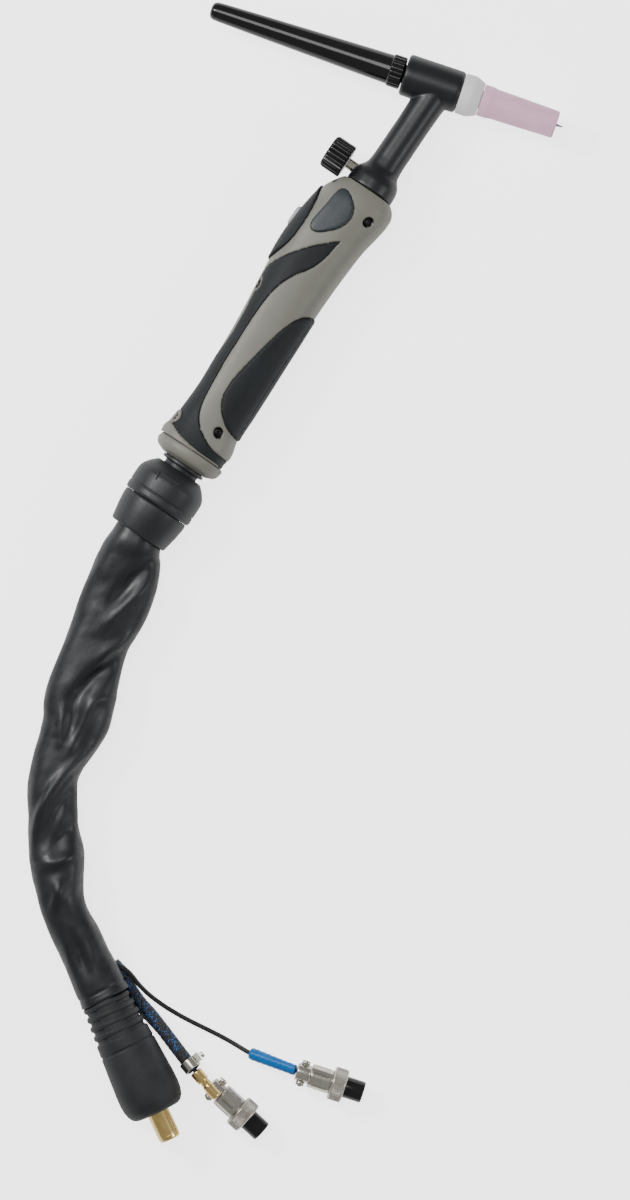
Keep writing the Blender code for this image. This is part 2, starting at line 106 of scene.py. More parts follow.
def noise(tree, scale, detail=4.0, stretch=(1, 1, 1)):
    """Noise in the row frame, so its scale is in cycles per metre on every piece."""
    place = tree.nodes.new("ShaderNodeTexCoord")
    mapping = tree.nodes.new("ShaderNodeMapping")
    mapping.inputs["Scale"].default_value = stretch
    texture = tree.nodes.new("ShaderNodeTexNoise")
    texture.inputs["Scale"].default_value = scale
    texture.inputs["Detail"].default_value = detail
    tree.links.new(place.outputs["Object"], mapping.inputs["Vector"])
    tree.links.new(mapping.outputs["Vector"], texture.inputs["Vector"])
    return texture.outputs["Fac"]


def ramp(tree, value, low, high, stops=(0.35, 0.65)):
    node = tree.nodes.new("ShaderNodeValToRGB")
    node.color_ramp.elements[0].position = stops[0]
    node.color_ramp.elements[1].position = stops[1]
    node.color_ramp.elements[0].color = (*low, 1)
    node.color_ramp.elements[1].color = (*high, 1)
    tree.links.new(value, node.inputs["Fac"])
    return node.outputs["Color"]


def bump(tree, shader, heights):
    """Stack bumps on a shader. Each height is a value, a strength and a depth in mm."""
    last = None
    for value, strength, depth in heights:
        node = tree.nodes.new("ShaderNodeBump")
        node.inputs["Strength"].default_value = strength
        node.inputs["Distance"].default_value = depth * MM
        tree.links.new(value, node.inputs["Height"])
        if last is not None:
            tree.links.new(last, node.inputs["Normal"])
        last = node.outputs["Normal"]
    tree.links.new(last, shader.inputs["Normal"])


def surface(name, colour, roughness, grain, depth, variation=0.12, blotch=60, spread=0.08,
        stretch=(1, 1, 1), **more):
    """A material whose colour and roughness drift a little and whose skin has a fine grain."""
    material, tree, shader = new_material(name, colour, roughness, **more)
    slow = noise(tree, blotch, 3)
    fine = noise(tree, grain, 2, stretch)
    darker = tuple(c * (1 - variation) for c in colour)
    lighter = tuple(min(1.0, c * (1 + variation)) for c in colour)
    tree.links.new(ramp(tree, slow, darker, lighter), shader.inputs["Base Color"])
    low, high = max(0.03, roughness - spread), min(1.0, roughness + spread)
    tree.links.new(ramp(tree, fine, (low,) * 3, (high,) * 3), shader.inputs["Roughness"])
    bump(tree, shader, [(fine, 0.5, depth)])
    return material


MATERIALS = {
    "black_moulding": surface("satin_black_moulding", (0.009, 0.010, 0.012), 0.38, 2600, 0.05, 0.25),
    "knuckle_black": surface("knuckle_black", (0.014, 0.016, 0.018), 0.46, 2200, 0.06, 0.2),
    "handle_grey": surface("handle_grey", (0.215, 0.210, 0.178), 0.48, 2400, 0.06, 0.07, 40),
    "soft_grip": surface("soft_grip", (0.010, 0.013, 0.015), 0.60, 3200, 0.09, 0.2, specular=0.35),
    "badge": surface("badge_plate", (0.024, 0.033, 0.038), 0.42, 1500, 0.03, 0.1),
    "button_grey": surface("button_grey", (0.46, 0.46, 0.45), 0.40, 2000, 0.03, 0.05),
    "ceramic_white": surface("insulator_white", (0.88, 0.88, 0.87), 0.42, 1200, 0.03, 0.05),
    "ceramic_pink": surface("cup_pink", (0.95, 0.55, 0.74), 0.50, 1500, 0.05, 0.05, 120),
    "gloss_black": surface("gloss_black", (0.006, 0.006, 0.007), 0.14, 900, 0.01, 0.2, spread=0.04),
    "rubber": surface("boot_rubber", (0.015, 0.016, 0.018), 0.60, 1700, 0.12, 0.25, 90),
    "brass": surface("brass", (0.93, 0.68, 0.27), 0.25, 1800, 0.004, 0.08, 200, spread=0.03, metallic=1.0),
    "copper": surface("copper", (0.72, 0.36, 0.20), 0.32, 1800, 0.02, 0.12, 200, metallic=1.0),
    "nickel": surface("nickel", (0.68, 0.64, 0.57), 0.20, 1500, 0.004, 0.08, 220, spread=0.03,
    metallic=1.0),
    "nickel_knurl": surface("knurled_nickel", (0.60, 0.56, 0.50), 0.34, 3000, 0.01, 0.10, 300,
    spread=0.04, metallic=1.0),
    "screw_steel": surface("dark_screw_steel", (0.035, 0.034, 0.033), 0.42, 2000, 0.02, 0.2, metallic=1.0),
    "tungsten": surface("tungsten", (0.42, 0.42, 0.43), 0.38, 2500, 0.02, 0.1, metallic=1.0),
    "braid_black": surface("braid_black", (0.012, 0.013, 0.018), 0.45, 3500, 0.05, 0.3, sheen=0.2),
    "braid_blue": surface("braid_blue", (0.010, 0.10, 0.34), 0.36, 3500, 0.05, 0.3, sheen=0.2),
    "wire_black": surface("wire_black", (0.016, 0.016, 0.017), 0.34, 1500, 0.02, 0.2),
    "shrink_blue": surface("shrink_blue", (0.003, 0.155, 0.50), 0.30, 900, 0.05, 0.12, 150),
}


def make_cover_cloth():
    """Coated cloth: a satin skin with a leathery grain and slow wrinkles."""
    material, tree, shader = new_material("cover_cloth", (0.010, 0.011, 0.013), 0.36)
    slow = noise(tree, 45, 3)
    grain = noise(tree, 1900, 3)
    crinkle = noise(tree, 260, 4, (1, 0.5, 1))
    tree.links.new(ramp(tree, slow, (0.007, 0.008, 0.010), (0.013, 0.014, 0.017)),
        shader.inputs["Base Color"])
    tree.links.new(ramp(tree, crinkle, (0.36,) * 3, (0.50,) * 3), shader.inputs["Roughness"])
    bump(tree, shader, [(crinkle, 0.25, 0.5), (grain, 0.35, 0.07)])
    return material


MATERIALS["cover_cloth"] = make_cover_cloth()
NODE_BODY = {node: body for body, nodes in frame["record"]["behaviour"]["bodies"].items()
    for node in nodes}


# ---------------------------------------------------------------- making pieces

def link(name, data):
    obj = bpy.data.objects.new(name, data)
    bpy.context.collection.objects.link(obj)
    return obj


def edit(mesh, *steps):
    """Run bmesh steps on a mesh."""
    bm = bmesh.new()
    bm.from_mesh(mesh)
    for step in steps:
        step(bm)
    bm.to_mesh(mesh)
    bm.free()


def recalculate(bm):
    bmesh.ops.recalc_face_normals(bm, faces=bm.faces)


def turn_right_side_out(bm):
    if bm.calc_volume(signed=True) < 0:
        bmesh.ops.reverse_faces(bm, faces=bm.faces)


def outward(mesh):
    """Face a closed mesh outwards."""
    edit(mesh, recalculate, turn_right_side_out)


def boolean(obj, tool, kind):
    step = obj.modifiers.new(kind.lower(), "BOOLEAN")
    step.operation = kind
    step.solver = "EXACT"
    step.object = tool


def bake(obj):
    """Replace an object's mesh with what its modifiers make of it."""
    graph = bpy.context.evaluated_depsgraph_get()
    mesh = bpy.data.meshes.new_from_object(obj.evaluated_get(graph))
    obj.modifiers.clear()
    obj.data = mesh


def cut(obj, *tools, kind="DIFFERENCE"):
    """Cut tools out of a piece, or join them to it, and remove the tools."""
    for tool in tools:
        boolean(obj, tool, kind)
    bake(obj)
    for tool in tools:
        bpy.data.objects.remove(tool)
    obj.data.set_sharp_from_angle(angle=math.radians(SHARP))


def thicken(obj, name, thickness):
    """Give an open skin a thickness, measured inwards in mm."""
    thick = obj.modifiers.new(name, "SOLIDIFY")
    thick.thickness = thickness * MM
    thick.offset = -1


def add_piece(name, mesh, material, node=None, body=None, replaces=True):
    """Link a mesh in the row frame as a piece that stands for a CAD node and rides on its body."""
    obj = link(name, mesh)
    if not mesh.materials:
        mesh.materials.append(MATERIALS[material])
    if node and replaces:
        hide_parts(node)
    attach(obj, body or NODE_BODY[node])
    return obj


def mesh_from(name, points, faces, sharp=SHARP):
    mesh = bpy.data.meshes.new(name)
    mesh.from_pydata([tuple(p) for p in points], [], faces)
    mesh.validate()
    mesh.shade_smooth()
    if sharp:
        mesh.set_sharp_from_angle(angle=math.radians(sharp))
    return mesh


def rounded(profile, radius, steps=3):
    """Round the corners of a profile of (height, radius) points with short arcs."""
    out = []
    last = len(profile) - 1
    for index, point in enumerate(profile):
        here = Vector(point)
        if index in (0, last):
            out.append(here)
            continue
        before, after = Vector(profile[index - 1]) - here, Vector(profile[index + 1]) - here
        reach = min(radius, before.length * 0.45, after.length * 0.45)
        if before.length < 1e-6 or after.length < 1e-6 or before.angle(after) > math.radians(172):
            out.append(here)
            continue
        first, second = here + before.normalized() * reach, here + after.normalized() * reach
        for step in range(steps + 1):
            t = step / steps
            out.append(first * (1 - t) ** 2 + here * 2 * t * (1 - t) + second * t ** 2)
    return [tuple(p) for p in out]


def turn_frame(origin, axis):
    """The matrix that takes a part turned round Z onto an axis in handle coordinates."""
    turn = Z_AXIS.rotation_difference(Vector(axis)).to_matrix().to_4x4()
    return Matrix.Scale(MM, 4) @ Matrix.Translation(Vector(origin) + SHIFT) @ turn


def turned(name, profile, material, node, origin, axis, radius=0.4, sides=FINE, shape=None, body=None,
        replaces=True, sharp=SHARP):
    """Turn a profile round an axis. shape(height, radius, angle) may alter the radius."""
    closed = profile[0][1] > 0
    if closed:
        middle = tuple((Vector(profile[0]) + Vector(profile[-1])) / 2)
        line = rounded([middle] + list(profile) + [middle], radius)[:-1]
    else:
        line = rounded(profile, radius)
    points, faces, rows = [], [], []
    for height, r in line:
        if r < 1e-6:
            points.append(Vector((0, 0, height)))
            rows.append([len(points) - 1] * sides)
            continue
        row = []
        for index in range(sides):
            angle = math.tau * index / sides
            reach = shape(height, r, angle) if shape else r
            points.append(Vector((reach * math.cos(angle), reach * math.sin(angle), height)))
            row.append(len(points) - 1)
        rows.append(row)
    pairs = list(zip(rows, rows[1:]))
    if closed:
        pairs.append((rows[-1], rows[0]))
    for row, following in pairs:
        for index in range(sides):
            other = (index + 1) % sides
            corners = [row[index], row[other], following[other], following[index]]
            faces.append([c for k, c in enumerate(corners) if c != corners[k - 1]])
    faces = [face for face in faces if len(face) > 2]
    matrix = turn_frame(origin, axis)
    mesh = mesh_from(name, [matrix @ p for p in points], faces, sharp)
    outward(mesh)
    return add_piece(name, mesh, material, node, body, replaces)


def solid_profile(points):
    return [(points[0][0], 0)] + list(points) + [(points[-1][0], 0)]


def paint_node(node, material):
    """Give a CAD node that keeps its shape a finished material."""
    obj = frame["nodes"][node]
    obj.data.materials.clear()
    obj.data.materials.append(MATERIALS[material])
    obj.data.shade_smooth()
    obj.data.set_sharp_from_angle(angle=math.radians(SHARP))


# ---------------------------------------------------------------- curves

def spline(points, count):
    """Evenly spaced points, and their distances, on a smooth curve through a route."""
    points = np.array(points, float)
    padded = np.vstack([2 * points[0] - points[1], points, 2 * points[-1] - points[-2]])
    fine = []
    for k in range(1, len(padded) - 2):
        a, b, c, d = padded[k - 1:k + 3]
        for t in np.linspace(0, 1, 24, endpoint=k == len(padded) - 3):
            fine.append(0.5 * (2 * b + (c - a) * t + (2 * a - 5 * b + 4 * c - d) * t**2
                + (3 * b - a - 3 * c + d) * t**3))
    fine = np.array(fine)
    run = np.concatenate([[0], np.cumsum(np.linalg.norm(np.diff(fine, axis=0), axis=1))])
    at_run = np.linspace(0, run[-1], count)
    return np.stack([np.interp(at_run, run, fine[:, k]) for k in range(3)], -1), at_run


def ease(value, low, high):
    t = np.clip((value - low) / (high - low), 0, 1)
    return t * t * (3 - 2 * t)


def frames_along(line):
    """Directions sideways and up at every point of a line that stays near level."""
    ahead = np.gradient(line, axis=0)
    ahead /= np.linalg.norm(ahead, axis=1, keepdims=True)
    side = np.cross(ahead, [0, 0, 1.0])
    side /= np.linalg.norm(side, axis=1, keepdims=True)
    return side, np.cross(side, ahead)


def tube_faces(rows, sides):
    faces = []
    for row in range(rows - 1):
        for k in range(sides):
            other = (k + 1) % sides
            a, b = row * sides, (row + 1) * sides
            faces.append([a + other, a + k, b + k, b + other])
    return faces


# ---------------------------------------------------------------- handle skin

# Outline seen from above: height, left edge, right edge, half depth.
OUTLINE = np.array([
    (2.3, -20.6, 18.6, 18.9), (6, -20.9, 18.4, 18.9), (9, -20.0, 19.4, 18.7), (13, -19.4, 19.3, 18.4),
    (20, -19.1, 17.5, 18.0), (36, -18.6, 16.9, 17.5), (52, -19.4, 16.5, 17.3), (68, -20.2, 16.0, 17.3),
    (84, -21.5, 15.6, 17.5), (100, -23.3, 15.1, 17.8), (116, -25.0, 15.2, 18.1), (132, -26.0, 15.8, 18.4),
    (148, -25.2, 16.9, 18.6), (160, -23.6, 19.0, 18.6), (167, -22.3, 19.8, 18.2), (172, -19.8, 19.4, 17.2),
    (175.4, -17.6, 17.4, 15.9), (177.3, -15.9, 15.3, 14.8),
    ])
SECTION_POWER = 2.35
SKIN_CELL = 0.62
SKIN_SIDES = 208
ARC = 19.5  # radius on which the skin is unrolled
GROOVE, PARTING = 0.42, 0.28  # depths of the outlines and of the line between the shells
SKIN_THICKNESS, SLEEVE_THICKNESS = 1.1, 0.9

SWOOSH = [
    (3.8, 145.2), (2.7, 139), (2.2, 134), (0.5, 127), (-2.2, 122), (-6, 116), (-9.6, 110), (-12.3, 102),
    (-13.4, 94), (-13.8, 82), (-13.5, 70), (-13.1, 58), (-12.4, 46), (-11.4, 34), (-9.7, 25), (-6.2, 18.2),
    (0, 12.6), (7, 9.2), (13, 8.0), (26, 8.3), (26, 2.5), (8, 2.7), (2, 3.1), (-6, 4.2), (-12, 5.8),
    (-17.2, 8.0), (-27, 9.6), (-27, 49), (-19.0, 57), (-18.6, 70), (-19.9, 84), (-21.4, 95), (-23.0, 105),
    (-23.4, 111), (-21.2, 116), (-17.3, 122), (-13, 127.6), (-7.4, 134), (-2.6, 139), (1.8, 143.2),
]
LEAF = [
    (27, 100.6), (14, 100.3), (11.3, 99), (8.6, 96), (6.1, 91), (4.1, 84.5), (2.4, 77), (0.8, 69),
    (-0.8, 60), (-2.3, 51), (-3.0, 43), (-2.3, 36.5), (0.6, 30.5), (5, 26.2), (10, 22.8), (16, 21.5),
    (27, 21.3),
]
STRIP = [
    (-34, 168), (-22.8, 167), (-21.4, 160), (-20.3, 152), (-19.8, 142), (-20.2, 132), (-21.5, 125),
    (-24.2, 116.5), (-36, 114),
]
BADGE = [
    (-12.2, 169.6), (-9, 170), (-4.2, 167.6), (-0.4, 163.4), (0.9, 158), (-0.2, 152.6), (-3.4, 147.6),
    (-8, 143), (-12.2, 140.9), (-15.2, 142), (-16, 146), (-15.1, 152), (-14.2, 160), (-13.2, 167),
]
NICK = [(-19.9, 170.2), (-18.2, 170.4), (-17.2, 174.4), (-18.9, 174.8)]
SCREW_PLACES = [(10.5, 162), (6.8, 18.4), (-22.2, 100), (-18.2, 12.8)]
WELL_R, RING_R = 3.2, 4.7
SEAM = [(15.6, 24), (14.6, 45), (14.2, 70), (14.0, 96)]


def cubic(table, column, heights):
    """Smooth curve through one column of the outline."""
    xs, ys = table[:, 0], table[:, column]
    slopes = np.gradient(ys, xs)
    index = np.clip(np.searchsorted(xs, heights) - 1, 0, len(xs) - 2)
    span = xs[index + 1] - xs[index]
    t = np.clip((heights - xs[index]) / span, 0, 1)
    return ((2 * t**3 - 3 * t**2 + 1) * ys[index] + (t**3 - 2 * t**2 + t) * span * slopes[index]
        + (3 * t**2 - 2 * t**3) * ys[index + 1] + (t**3 - t**2) * span * slopes[index + 1])


def skin(angle, height, offset=0.0):
    """Points of the handle's surface, moved out by an offset, in handle coordinates."""
    left, right, depth = (cubic(OUTLINE, column, height) for column in (1, 2, 3))
    middle, half = (left + right) / 2, (right - left) / 2
    c, s = np.cos(angle), np.sin(angle)
    power = 2 / SECTION_POWER
    u, w = np.sign(c) * np.abs(c) ** power, np.sign(s) * np.abs(s) ** power
    nx = np.sign(u) * np.abs(u) ** (SECTION_POWER - 1) / half
    nz = np.sign(w) * np.abs(w) ** (SECTION_POWER - 1) / depth
    size = np.hypot(nx, nz)
    return np.stack([middle + half * u + nx / size * offset, height + 0 * angle,
        AXIS_Z + depth * w + nz / size * offset], -1)


def skin_angle(x, height):
    """The angle at which the upper surface is at x. Past either edge it runs on at arc length."""
    left, right = (float(cubic(OUTLINE, column, np.array([height]))[0]) for column in (1, 2))
    if x < left:
        return math.pi + (left - x) / ARC
    if x > right:
        return -(x - right) / ARC
    u = (2 * x - left - right) / (right - left)
    return math.acos(max(-1, min(1, math.copysign(abs(u) ** (SECTION_POWER / 2), u))))


def flat(points):
    """Outline points (x, height) as (arc, height) on the unrolled surface."""
    return np.array([(skin_angle(x, h) * ARC, h) for x, h in points])


def softened(points, rounds=3, closed=True):
    """Cut corners so that an outline turns smoothly."""
    for _ in range(rounds):
        following = np.roll(points, -1, 0) if closed else points[1:]
        base = points if closed else points[:-1]
        cut = np.stack([base * 0.75 + following * 0.25, base * 0.25 + following * 0.75], 1).reshape(-1, 2)
        points = cut if closed else np.concatenate([points[:1], cut, points[-1:]])
    return points


def circle(x, height, radius):
    middle = flat([(x, height)])[0]
    turn = np.linspace(0, math.tau, 40, endpoint=False)
    return middle + radius * np.stack([np.cos(turn), np.sin(turn)], -1)


def nearest_on(outline, places, closed=True):
    """(distance, nearest point, inside) of places to an outline on the unrolled surface."""
    start = outline if closed else outline[:-1]
    end = np.roll(outline, -1, 0) if closed else outline[1:]
    best = np.full(len(places), 1e9)
    near = np.zeros_like(places)
    inside = np.zeros(len(places), bool)
    for a, b in zip(start, end):
        along = b - a
        t = np.clip(((places - a) @ along) / max(along @ along, 1e-12), 0, 1)
        point = a + t[:, None] * along
        distance = np.hypot(*(places - point).T)
        closer = distance < best
        best[closer], near[closer] = distance[closer], point[closer]
        if closed and a[1] != b[1]:
            crosses = (a[1] > places[:, 1]) != (b[1] > places[:, 1])
            reach = a[0] + (places[:, 1] - a[1]) * along[0] / along[1]
            inside ^= crosses & (places[:, 0] < reach)
    return best, near, inside


def make_regions():
    """Name, outline, whether it is on both sides, and how far its surface stands proud."""
    window = np.array([((math.pi - 0.21) * ARC, 136.6), (math.pi * ARC + 9, 136.6),
        (math.pi * ARC + 9, 150.0), ((math.pi - 0.21) * ARC, 150.0)])
    regions = [("window", softened(window, 2), True, 0.0)]
    regions += [("well", circle(x, h, WELL_R), False, -3.1) for x, h in SCREW_PLACES]
    regions += [("ring", circle(x, h, RING_R), False, 0.1) for x, h in SCREW_PLACES[2:]]
    regions += [("badge", softened(flat(BADGE)), True, -0.22),
        ("nick", softened(flat(NICK), 2), True, -0.8)]
    for name, outline in (("swoosh", SWOOSH), ("leaf", LEAF), ("surround", STRIP)):
        regions.append((name, softened(flat(outline)), True, 0.14))
    return regions


def make_handle_skin():
    rows = int((OUTLINE[-1, 0] - OUTLINE[0, 0]) / SKIN_CELL) + 1
    heights = np.linspace(OUTLINE[0, 0], OUTLINE[-1, 0], rows)
    angles = np.linspace(-math.pi, math.pi, SKIN_SIDES, endpoint=False)
    height, angle = (grid.ravel() for grid in np.meshgrid(heights, angles, indexing="ij"))
    upper = angle >= 0
    places = np.stack([np.abs(angle) * ARC, height], -1)
    regions = make_regions()

    closest = np.full(len(places), 1e9)
    target = places.copy()
    lift = np.zeros(len(places))
    sharpest = SKIN_CELL * 0.52
    for name, outline, both, proud in reversed(regions):
        distance, near, inside = nearest_on(outline, places)
        if not both:
            distance = np.where(upper, distance, 1e9)
            inside &= upper
        lift = np.where(inside, proud, lift)
        take = (distance < closest) & (distance < sharpest)
        closest[take], target[take] = distance[take], near[take]
    seam = softened(flat(SEAM), 2, closed=False)
    distance, near, _ = nearest_on(seam, places, closed=False)
    take = (distance < closest) & (distance < sharpest) & (closest > 2 * SKIN_CELL)
    closest[take], target[take] = distance[take], near[take]
    on_line = closest < sharpest
    lift[on_line] = -GROOVE
    parting = (np.abs(angle) < 1e-6) | (np.abs(angle + math.pi) < 1e-6)
    lift[parting & ~on_line] -= PARTING

    inner_row = (height > heights[0] + 1e-6) & (height < heights[-1] - 1e-6)
    free = ~parting & inner_row
    side = np.where(angle < 0, -1.0, 1.0)
    angle = np.where(free, side * target[:, 0] / ARC, angle)
    height = np.where(free, target[:, 1], height)
    points = skin(angle, height, lift)

    grid = np.arange(rows * SKIN_SIDES).reshape(rows, SKIN_SIDES)
    across = np.roll(grid, -1, 1)
    quads = np.stack([grid[:-1], across[:-1], across[1:], grid[1:]], -1).reshape(-1, 4)
    middle_height = height[quads].mean(1)
    turns = angle[quads]
    turns = np.where(turns - turns[:, :1] < -math.pi, turns + math.tau, turns)
    middle_angle = turns.mean(1)
    middle_upper = (middle_angle > 0) & (middle_angle < math.pi)
    folded = np.where(middle_angle > math.pi, math.tau - middle_angle, np.abs(middle_angle))
    middles = np.stack([folded * ARC, middle_height], -1)
    label = np.full(len(quads), "skin", dtype="<U8")
    for name, outline, both, _ in reversed(regions):
        _, _, inside = nearest_on(outline, middles)
        if not both:
            inside &= middle_upper
        label[inside] = name
    build_skin_pieces(points, quads, label, middle_upper)


def build_skin_pieces(points, quads, label, upper):
    pieces = [
        ("handle_skin", ("skin", "ring", "well", "nick"), "handle_grey", "handle_shell"),
        ("swoosh_inlay", ("swoosh",), "soft_grip", "swoosh_grip"),
        ("leaf_inlay", ("leaf",), "soft_grip", "leaf_grip"),
        ("badge_inlay", ("badge",), "badge", "badge"),
    ]
    for side, word in ((upper, "upper"), (~upper, "lower")):
        for name, labels, material, node in pieces:
            chosen = np.isin(label, labels) & side
            # The screw wells and the nick are recesses in the grey shell; their faces are painted black,
            # which is painted shade.
            extra = np.isin(label[chosen], ("well", "nick"))
            make_skin_piece(f"{name}_{word}", points, quads[chosen], material, f"{node}_{word}", extra)
    make_skin_piece("surround_inlay", points, quads[label == "surround"], "soft_grip", "button_surround")


def make_skin_piece(name, points, faces, material, node, painted_shade_faces=None):
    """Thicken a patch of the skin inwards, so that it is a closed shell. Faces marked in the last argument
    are painted black, as painted shade in recesses.
    """
    used, faces = np.unique(faces, return_inverse=True)
    faces = faces.reshape(-1, 4)
    mesh = bpy.data.meshes.new(name)
    placed = (points[used] + np.array(SHIFT)) * MM
    mesh.from_pydata(placed.tolist(), [], faces.tolist())
    mesh.materials.append(MATERIALS[material])
    # Painted shade: the faces of the screw wells and the nick get black moulding, though the shell is grey
    # there.
    if painted_shade_faces is not None and painted_shade_faces.any():
        mesh.materials.append(MATERIALS["black_moulding"])
        mesh.polygons.foreach_set("material_index", painted_shade_faces.astype(np.int32))
    mesh.shade_smooth()
    edit(mesh, lambda bm: bmesh.ops.dissolve_degenerate(bm, dist=1e-6, edges=bm.edges), recalculate)
    thicken(add_piece(name, mesh, material, node), "thickness", SKIN_THICKNESS)


# ---------------------------------------------------------------- handle ends, screws and button

def make_flange():
    """Light ring at the bottom of the handle. Its upper edge climbs a little on the left."""
    def edge(height, r, angle):
        return r + (0.35 * math.cos(angle) if height > 0 else 0)

    profile = [(-6.5, 13.6), (-6.2, 14.6), (-4.6, 18.4), (-3.2, 19.7), (-1.4, 20.4), (0.9, 20.4),
        (1.9, 20.0), (2.2, 19.2), (2.2, 15.0), (-6.5, 12.0)]
    turned("rear_flange_ring", profile, "handle_grey", "rear_flange", (-0.7, 0, AXIS_Z), Y_AXIS, 0.8,
        shape=edge)


def make_button():
    """Rounded rocker that stands a little proud of the left side."""
    points, faces = [], []
    x0, x1, y0, y1, half = -28.2, -20.9, 137.0, 149.6, 4.5
    power = 5.0
    rows, sides = 24, 48
    for row in range(rows + 1):
        tilt = math.pi * row / rows - math.pi / 2
        for side in range(sides):
            turn = math.tau * side / sides
            c = (math.cos(tilt) * math.cos(turn), math.cos(tilt) * math.sin(turn), math.sin(tilt))
            size = sum(abs(v) ** power for v in c) ** (-1 / power)
            y, z, x = (v * size for v in c)
            points.append(at(((x0 + x1) / 2 + x * (x1 - x0) / 2, (y0 + y1) / 2 + y * (y1 - y0) / 2,
                AXIS_Z + z * half)))
    for row in range(rows):
        for side in range(sides):
            other = (side + 1) % sides
            a, b = row * sides, (row + 1) * sides
            faces.append([a + side, a + other, b + other, b + side])
    mesh = mesh_from("trigger_key", points, faces, None)
    edit(mesh, lambda bm: bmesh.ops.remove_doubles(bm, verts=bm.verts, dist=1e-6))
    outward(mesh)
    add_piece("trigger_key", mesh, "button_grey", "trigger_button")


# ---------------------------------------------------------------- head

def make_head_cover():
    """Moulded black cover: neck and head barrel run together with a soft fillet."""
    neck = turned("head_cover_moulding",
        [(177.4, 5.0), (177.4, 14.0), (178.2, 14.6), (184.4, 14.2), (187.6, 13.0), (190.2, 10.9),
        (192.4, 9.8), (198, 9.4), (222, 9.3), (236, 9.6), (245, 10.2), (245, 5.0)],
        "black_moulding", "head_cover", (0, 0, AXIS_Z), Y_AXIS, 0.8)
    barrel = turned("barrel_tool", solid_profile([(-16.6, 10.2), (-16.2, 11.4), (-15.0, 11.9), (15.0, 11.9),
        (16.2, 11.4), (16.6, 10.2)]),
        "black_moulding", "head_cover", HEAD_CENTRE, HEAD_AXIS, 0.4, replaces=False)
    bore = turned("bore_tool", solid_profile([(-40, 7.2), (40, 7.2)]), "black_moulding", "head_cover",
        HEAD_CENTRE, HEAD_AXIS, 0, replaces=False)
    boolean(neck, barrel, "UNION")
    boolean(neck, bore, "DIFFERENCE")
    remesh = neck.modifiers.new("moulded", "REMESH")
    remesh.mode = "VOXEL"
    remesh.voxel_size = 0.36 * MM
    remesh.use_smooth_shade = True
    settle = neck.modifiers.new("settle", "SMOOTH")
    settle.factor = 0.5
    settle.iterations = 26
    bake(neck)
    for tool in (barrel, bore):
        bpy.data.objects.remove(tool)


def make_cup_and_insulator():
    turned("insulator_ring", [(16.7, 7.2), (16.7, 10.9), (17.1, 11.5), (22.4, 11.7), (23.4, 11.5),
        (28.0, 9.6), (28.5, 9.0), (28.5, 7.2)], "ceramic_white", "insulator", HEAD_CENTRE, HEAD_AXIS, 0.5)
    turned("cup_shell", [(28.7, 5.7), (28.7, 8.7), (29.2, 9.0), (33.6, 9.0), (35.2, 8.7), (36.4, 8.5),
        (50, 8.25), (68, 7.85), (71.6, 7.8), (72.8, 7.5), (73, 7.0), (73, 6.2), (72.6, 5.8)],
        "ceramic_pink", "gas_cup", HEAD_CENTRE, HEAD_AXIS, 0.45)


def make_back_cap():
    """Long cap with a fluted collar next to the head and a slender tapering tail."""
    def flutes(height, r, angle):
        if -24.3 < height < -17.9 and r > 8.7:
            return r - 0.6 * (0.5 + 0.5 * math.cos(angle * 18)) ** 3
        return r

    inner = [(-104, 0), (-104, 2.5), (-5.5, 2.5), (-5.5, 5.1), (-16.9, 5.1), (-17.2, 8.5), (-17.7, 9.2)]
    collar = [(-18.0 - 0.4 * k, 9.2) for k in range(16)]
    tail = [(-24.5, 9.0), (-25.0, 8.4), (-40, 8.0), (-70, 7.1), (-100, 6.2), (-124, 5.4), (-128, 5.1),
        (-129.6, 4.4), (-130.5, 3.0), (-130.8, 0)]
    turned("back_cap_body", inner + collar + tail, "gloss_black", "back_cap", HEAD_CENTRE, HEAD_AXIS, 0.3,
        144, shape=flutes)


def make_knob():
    def ribs(height, r, angle):
        if r > 7 and height < 31.0:
            return r - 0.75 * (0.5 + 0.5 * math.cos(angle * 20)) ** 2
        return r

    side = [(18.9 + 0.6 * k, 9.8) for k in range(1, 19)]
    turned("knob_body", [(18.9, 0), (18.9, 9.2)] + side + [(30.8, 9.4), (31.5, 8.6), (31.6, 7.0),
        (31.2, 6.4), (31.2, 0)],
        "gloss_black", "control_knob", (0, KNOB_Y, AXIS_Z), -X_AXIS, 0.3, 160, shape=ribs)


# ---------------------------------------------------------------- knuckle

def make_knuckle():
    centre = (0, BALL_Y, AXIS_Z)
    ball = [(14.0 * math.sin(math.radians(d)), 14.0 * math.cos(math.radians(d))) for d in range(-50, 44, 4)]
    turned("ball_moulding", [(ball[0][0], 7.0)] + ball + [(10.9, 10.4), (15.0, 10.4), (15.4, 12.9),
        (17.2, 12.9), (17.2, 11.8), (19.6, 11.8), (19.6, 7.0)],
        "knuckle_black", "knuckle_ball", centre, Y_AXIS, 0.3)
    shell = turned("knuckle_shell",
        [(12.4, 12.5), (12.9, 13.3), (12.3, 14.4), (9.4, 17.4), (6.2, 19.7), (3.8, 20.6), (1.2, 20.8),
        (-4.6, 20.8), (-4.9, 20.4), (-5.5, 20.4), (-5.8, 20.8), (-9.0, 20.8), (-10.1, 20.2),
        (-10.4, 19.2), (-10.4, 15.2), (4.0, 15.2), (8.2, 13.4)][::-1],
        "knuckle_black", "knuckle_housing", centre, Y_AXIS, 0.6)
    cut(shell, block("notch_across", (0.7, 4.0, 12.6), (-1.4, -17.6, 40.4), X_AXIS),
        block("notch_along", (0.7, 4.0, 5.0), (-7.6, -19.8, 40.0), Y_AXIS))
    turned("cuff_shell",
        [(-6.0, 13.5), (-6.0, 15.0), (-10.5, 15.0), (-10.5, 19.3), (-10.95, 19.4), (-10.95, 19.55),
        (-11.5, 19.8), (-14, 19.8), (-20.0, 19.1),
        (-28.6, 17.5), (-29.3, 17.0), (-29.5, 16.2), (-29.5, 14.9), (-22.0, 13.9)][::-1],
        "knuckle_black", "rear_cuff", centre, Y_AXIS, 0.5)


# ---------------------------------------------------------------- cable cover

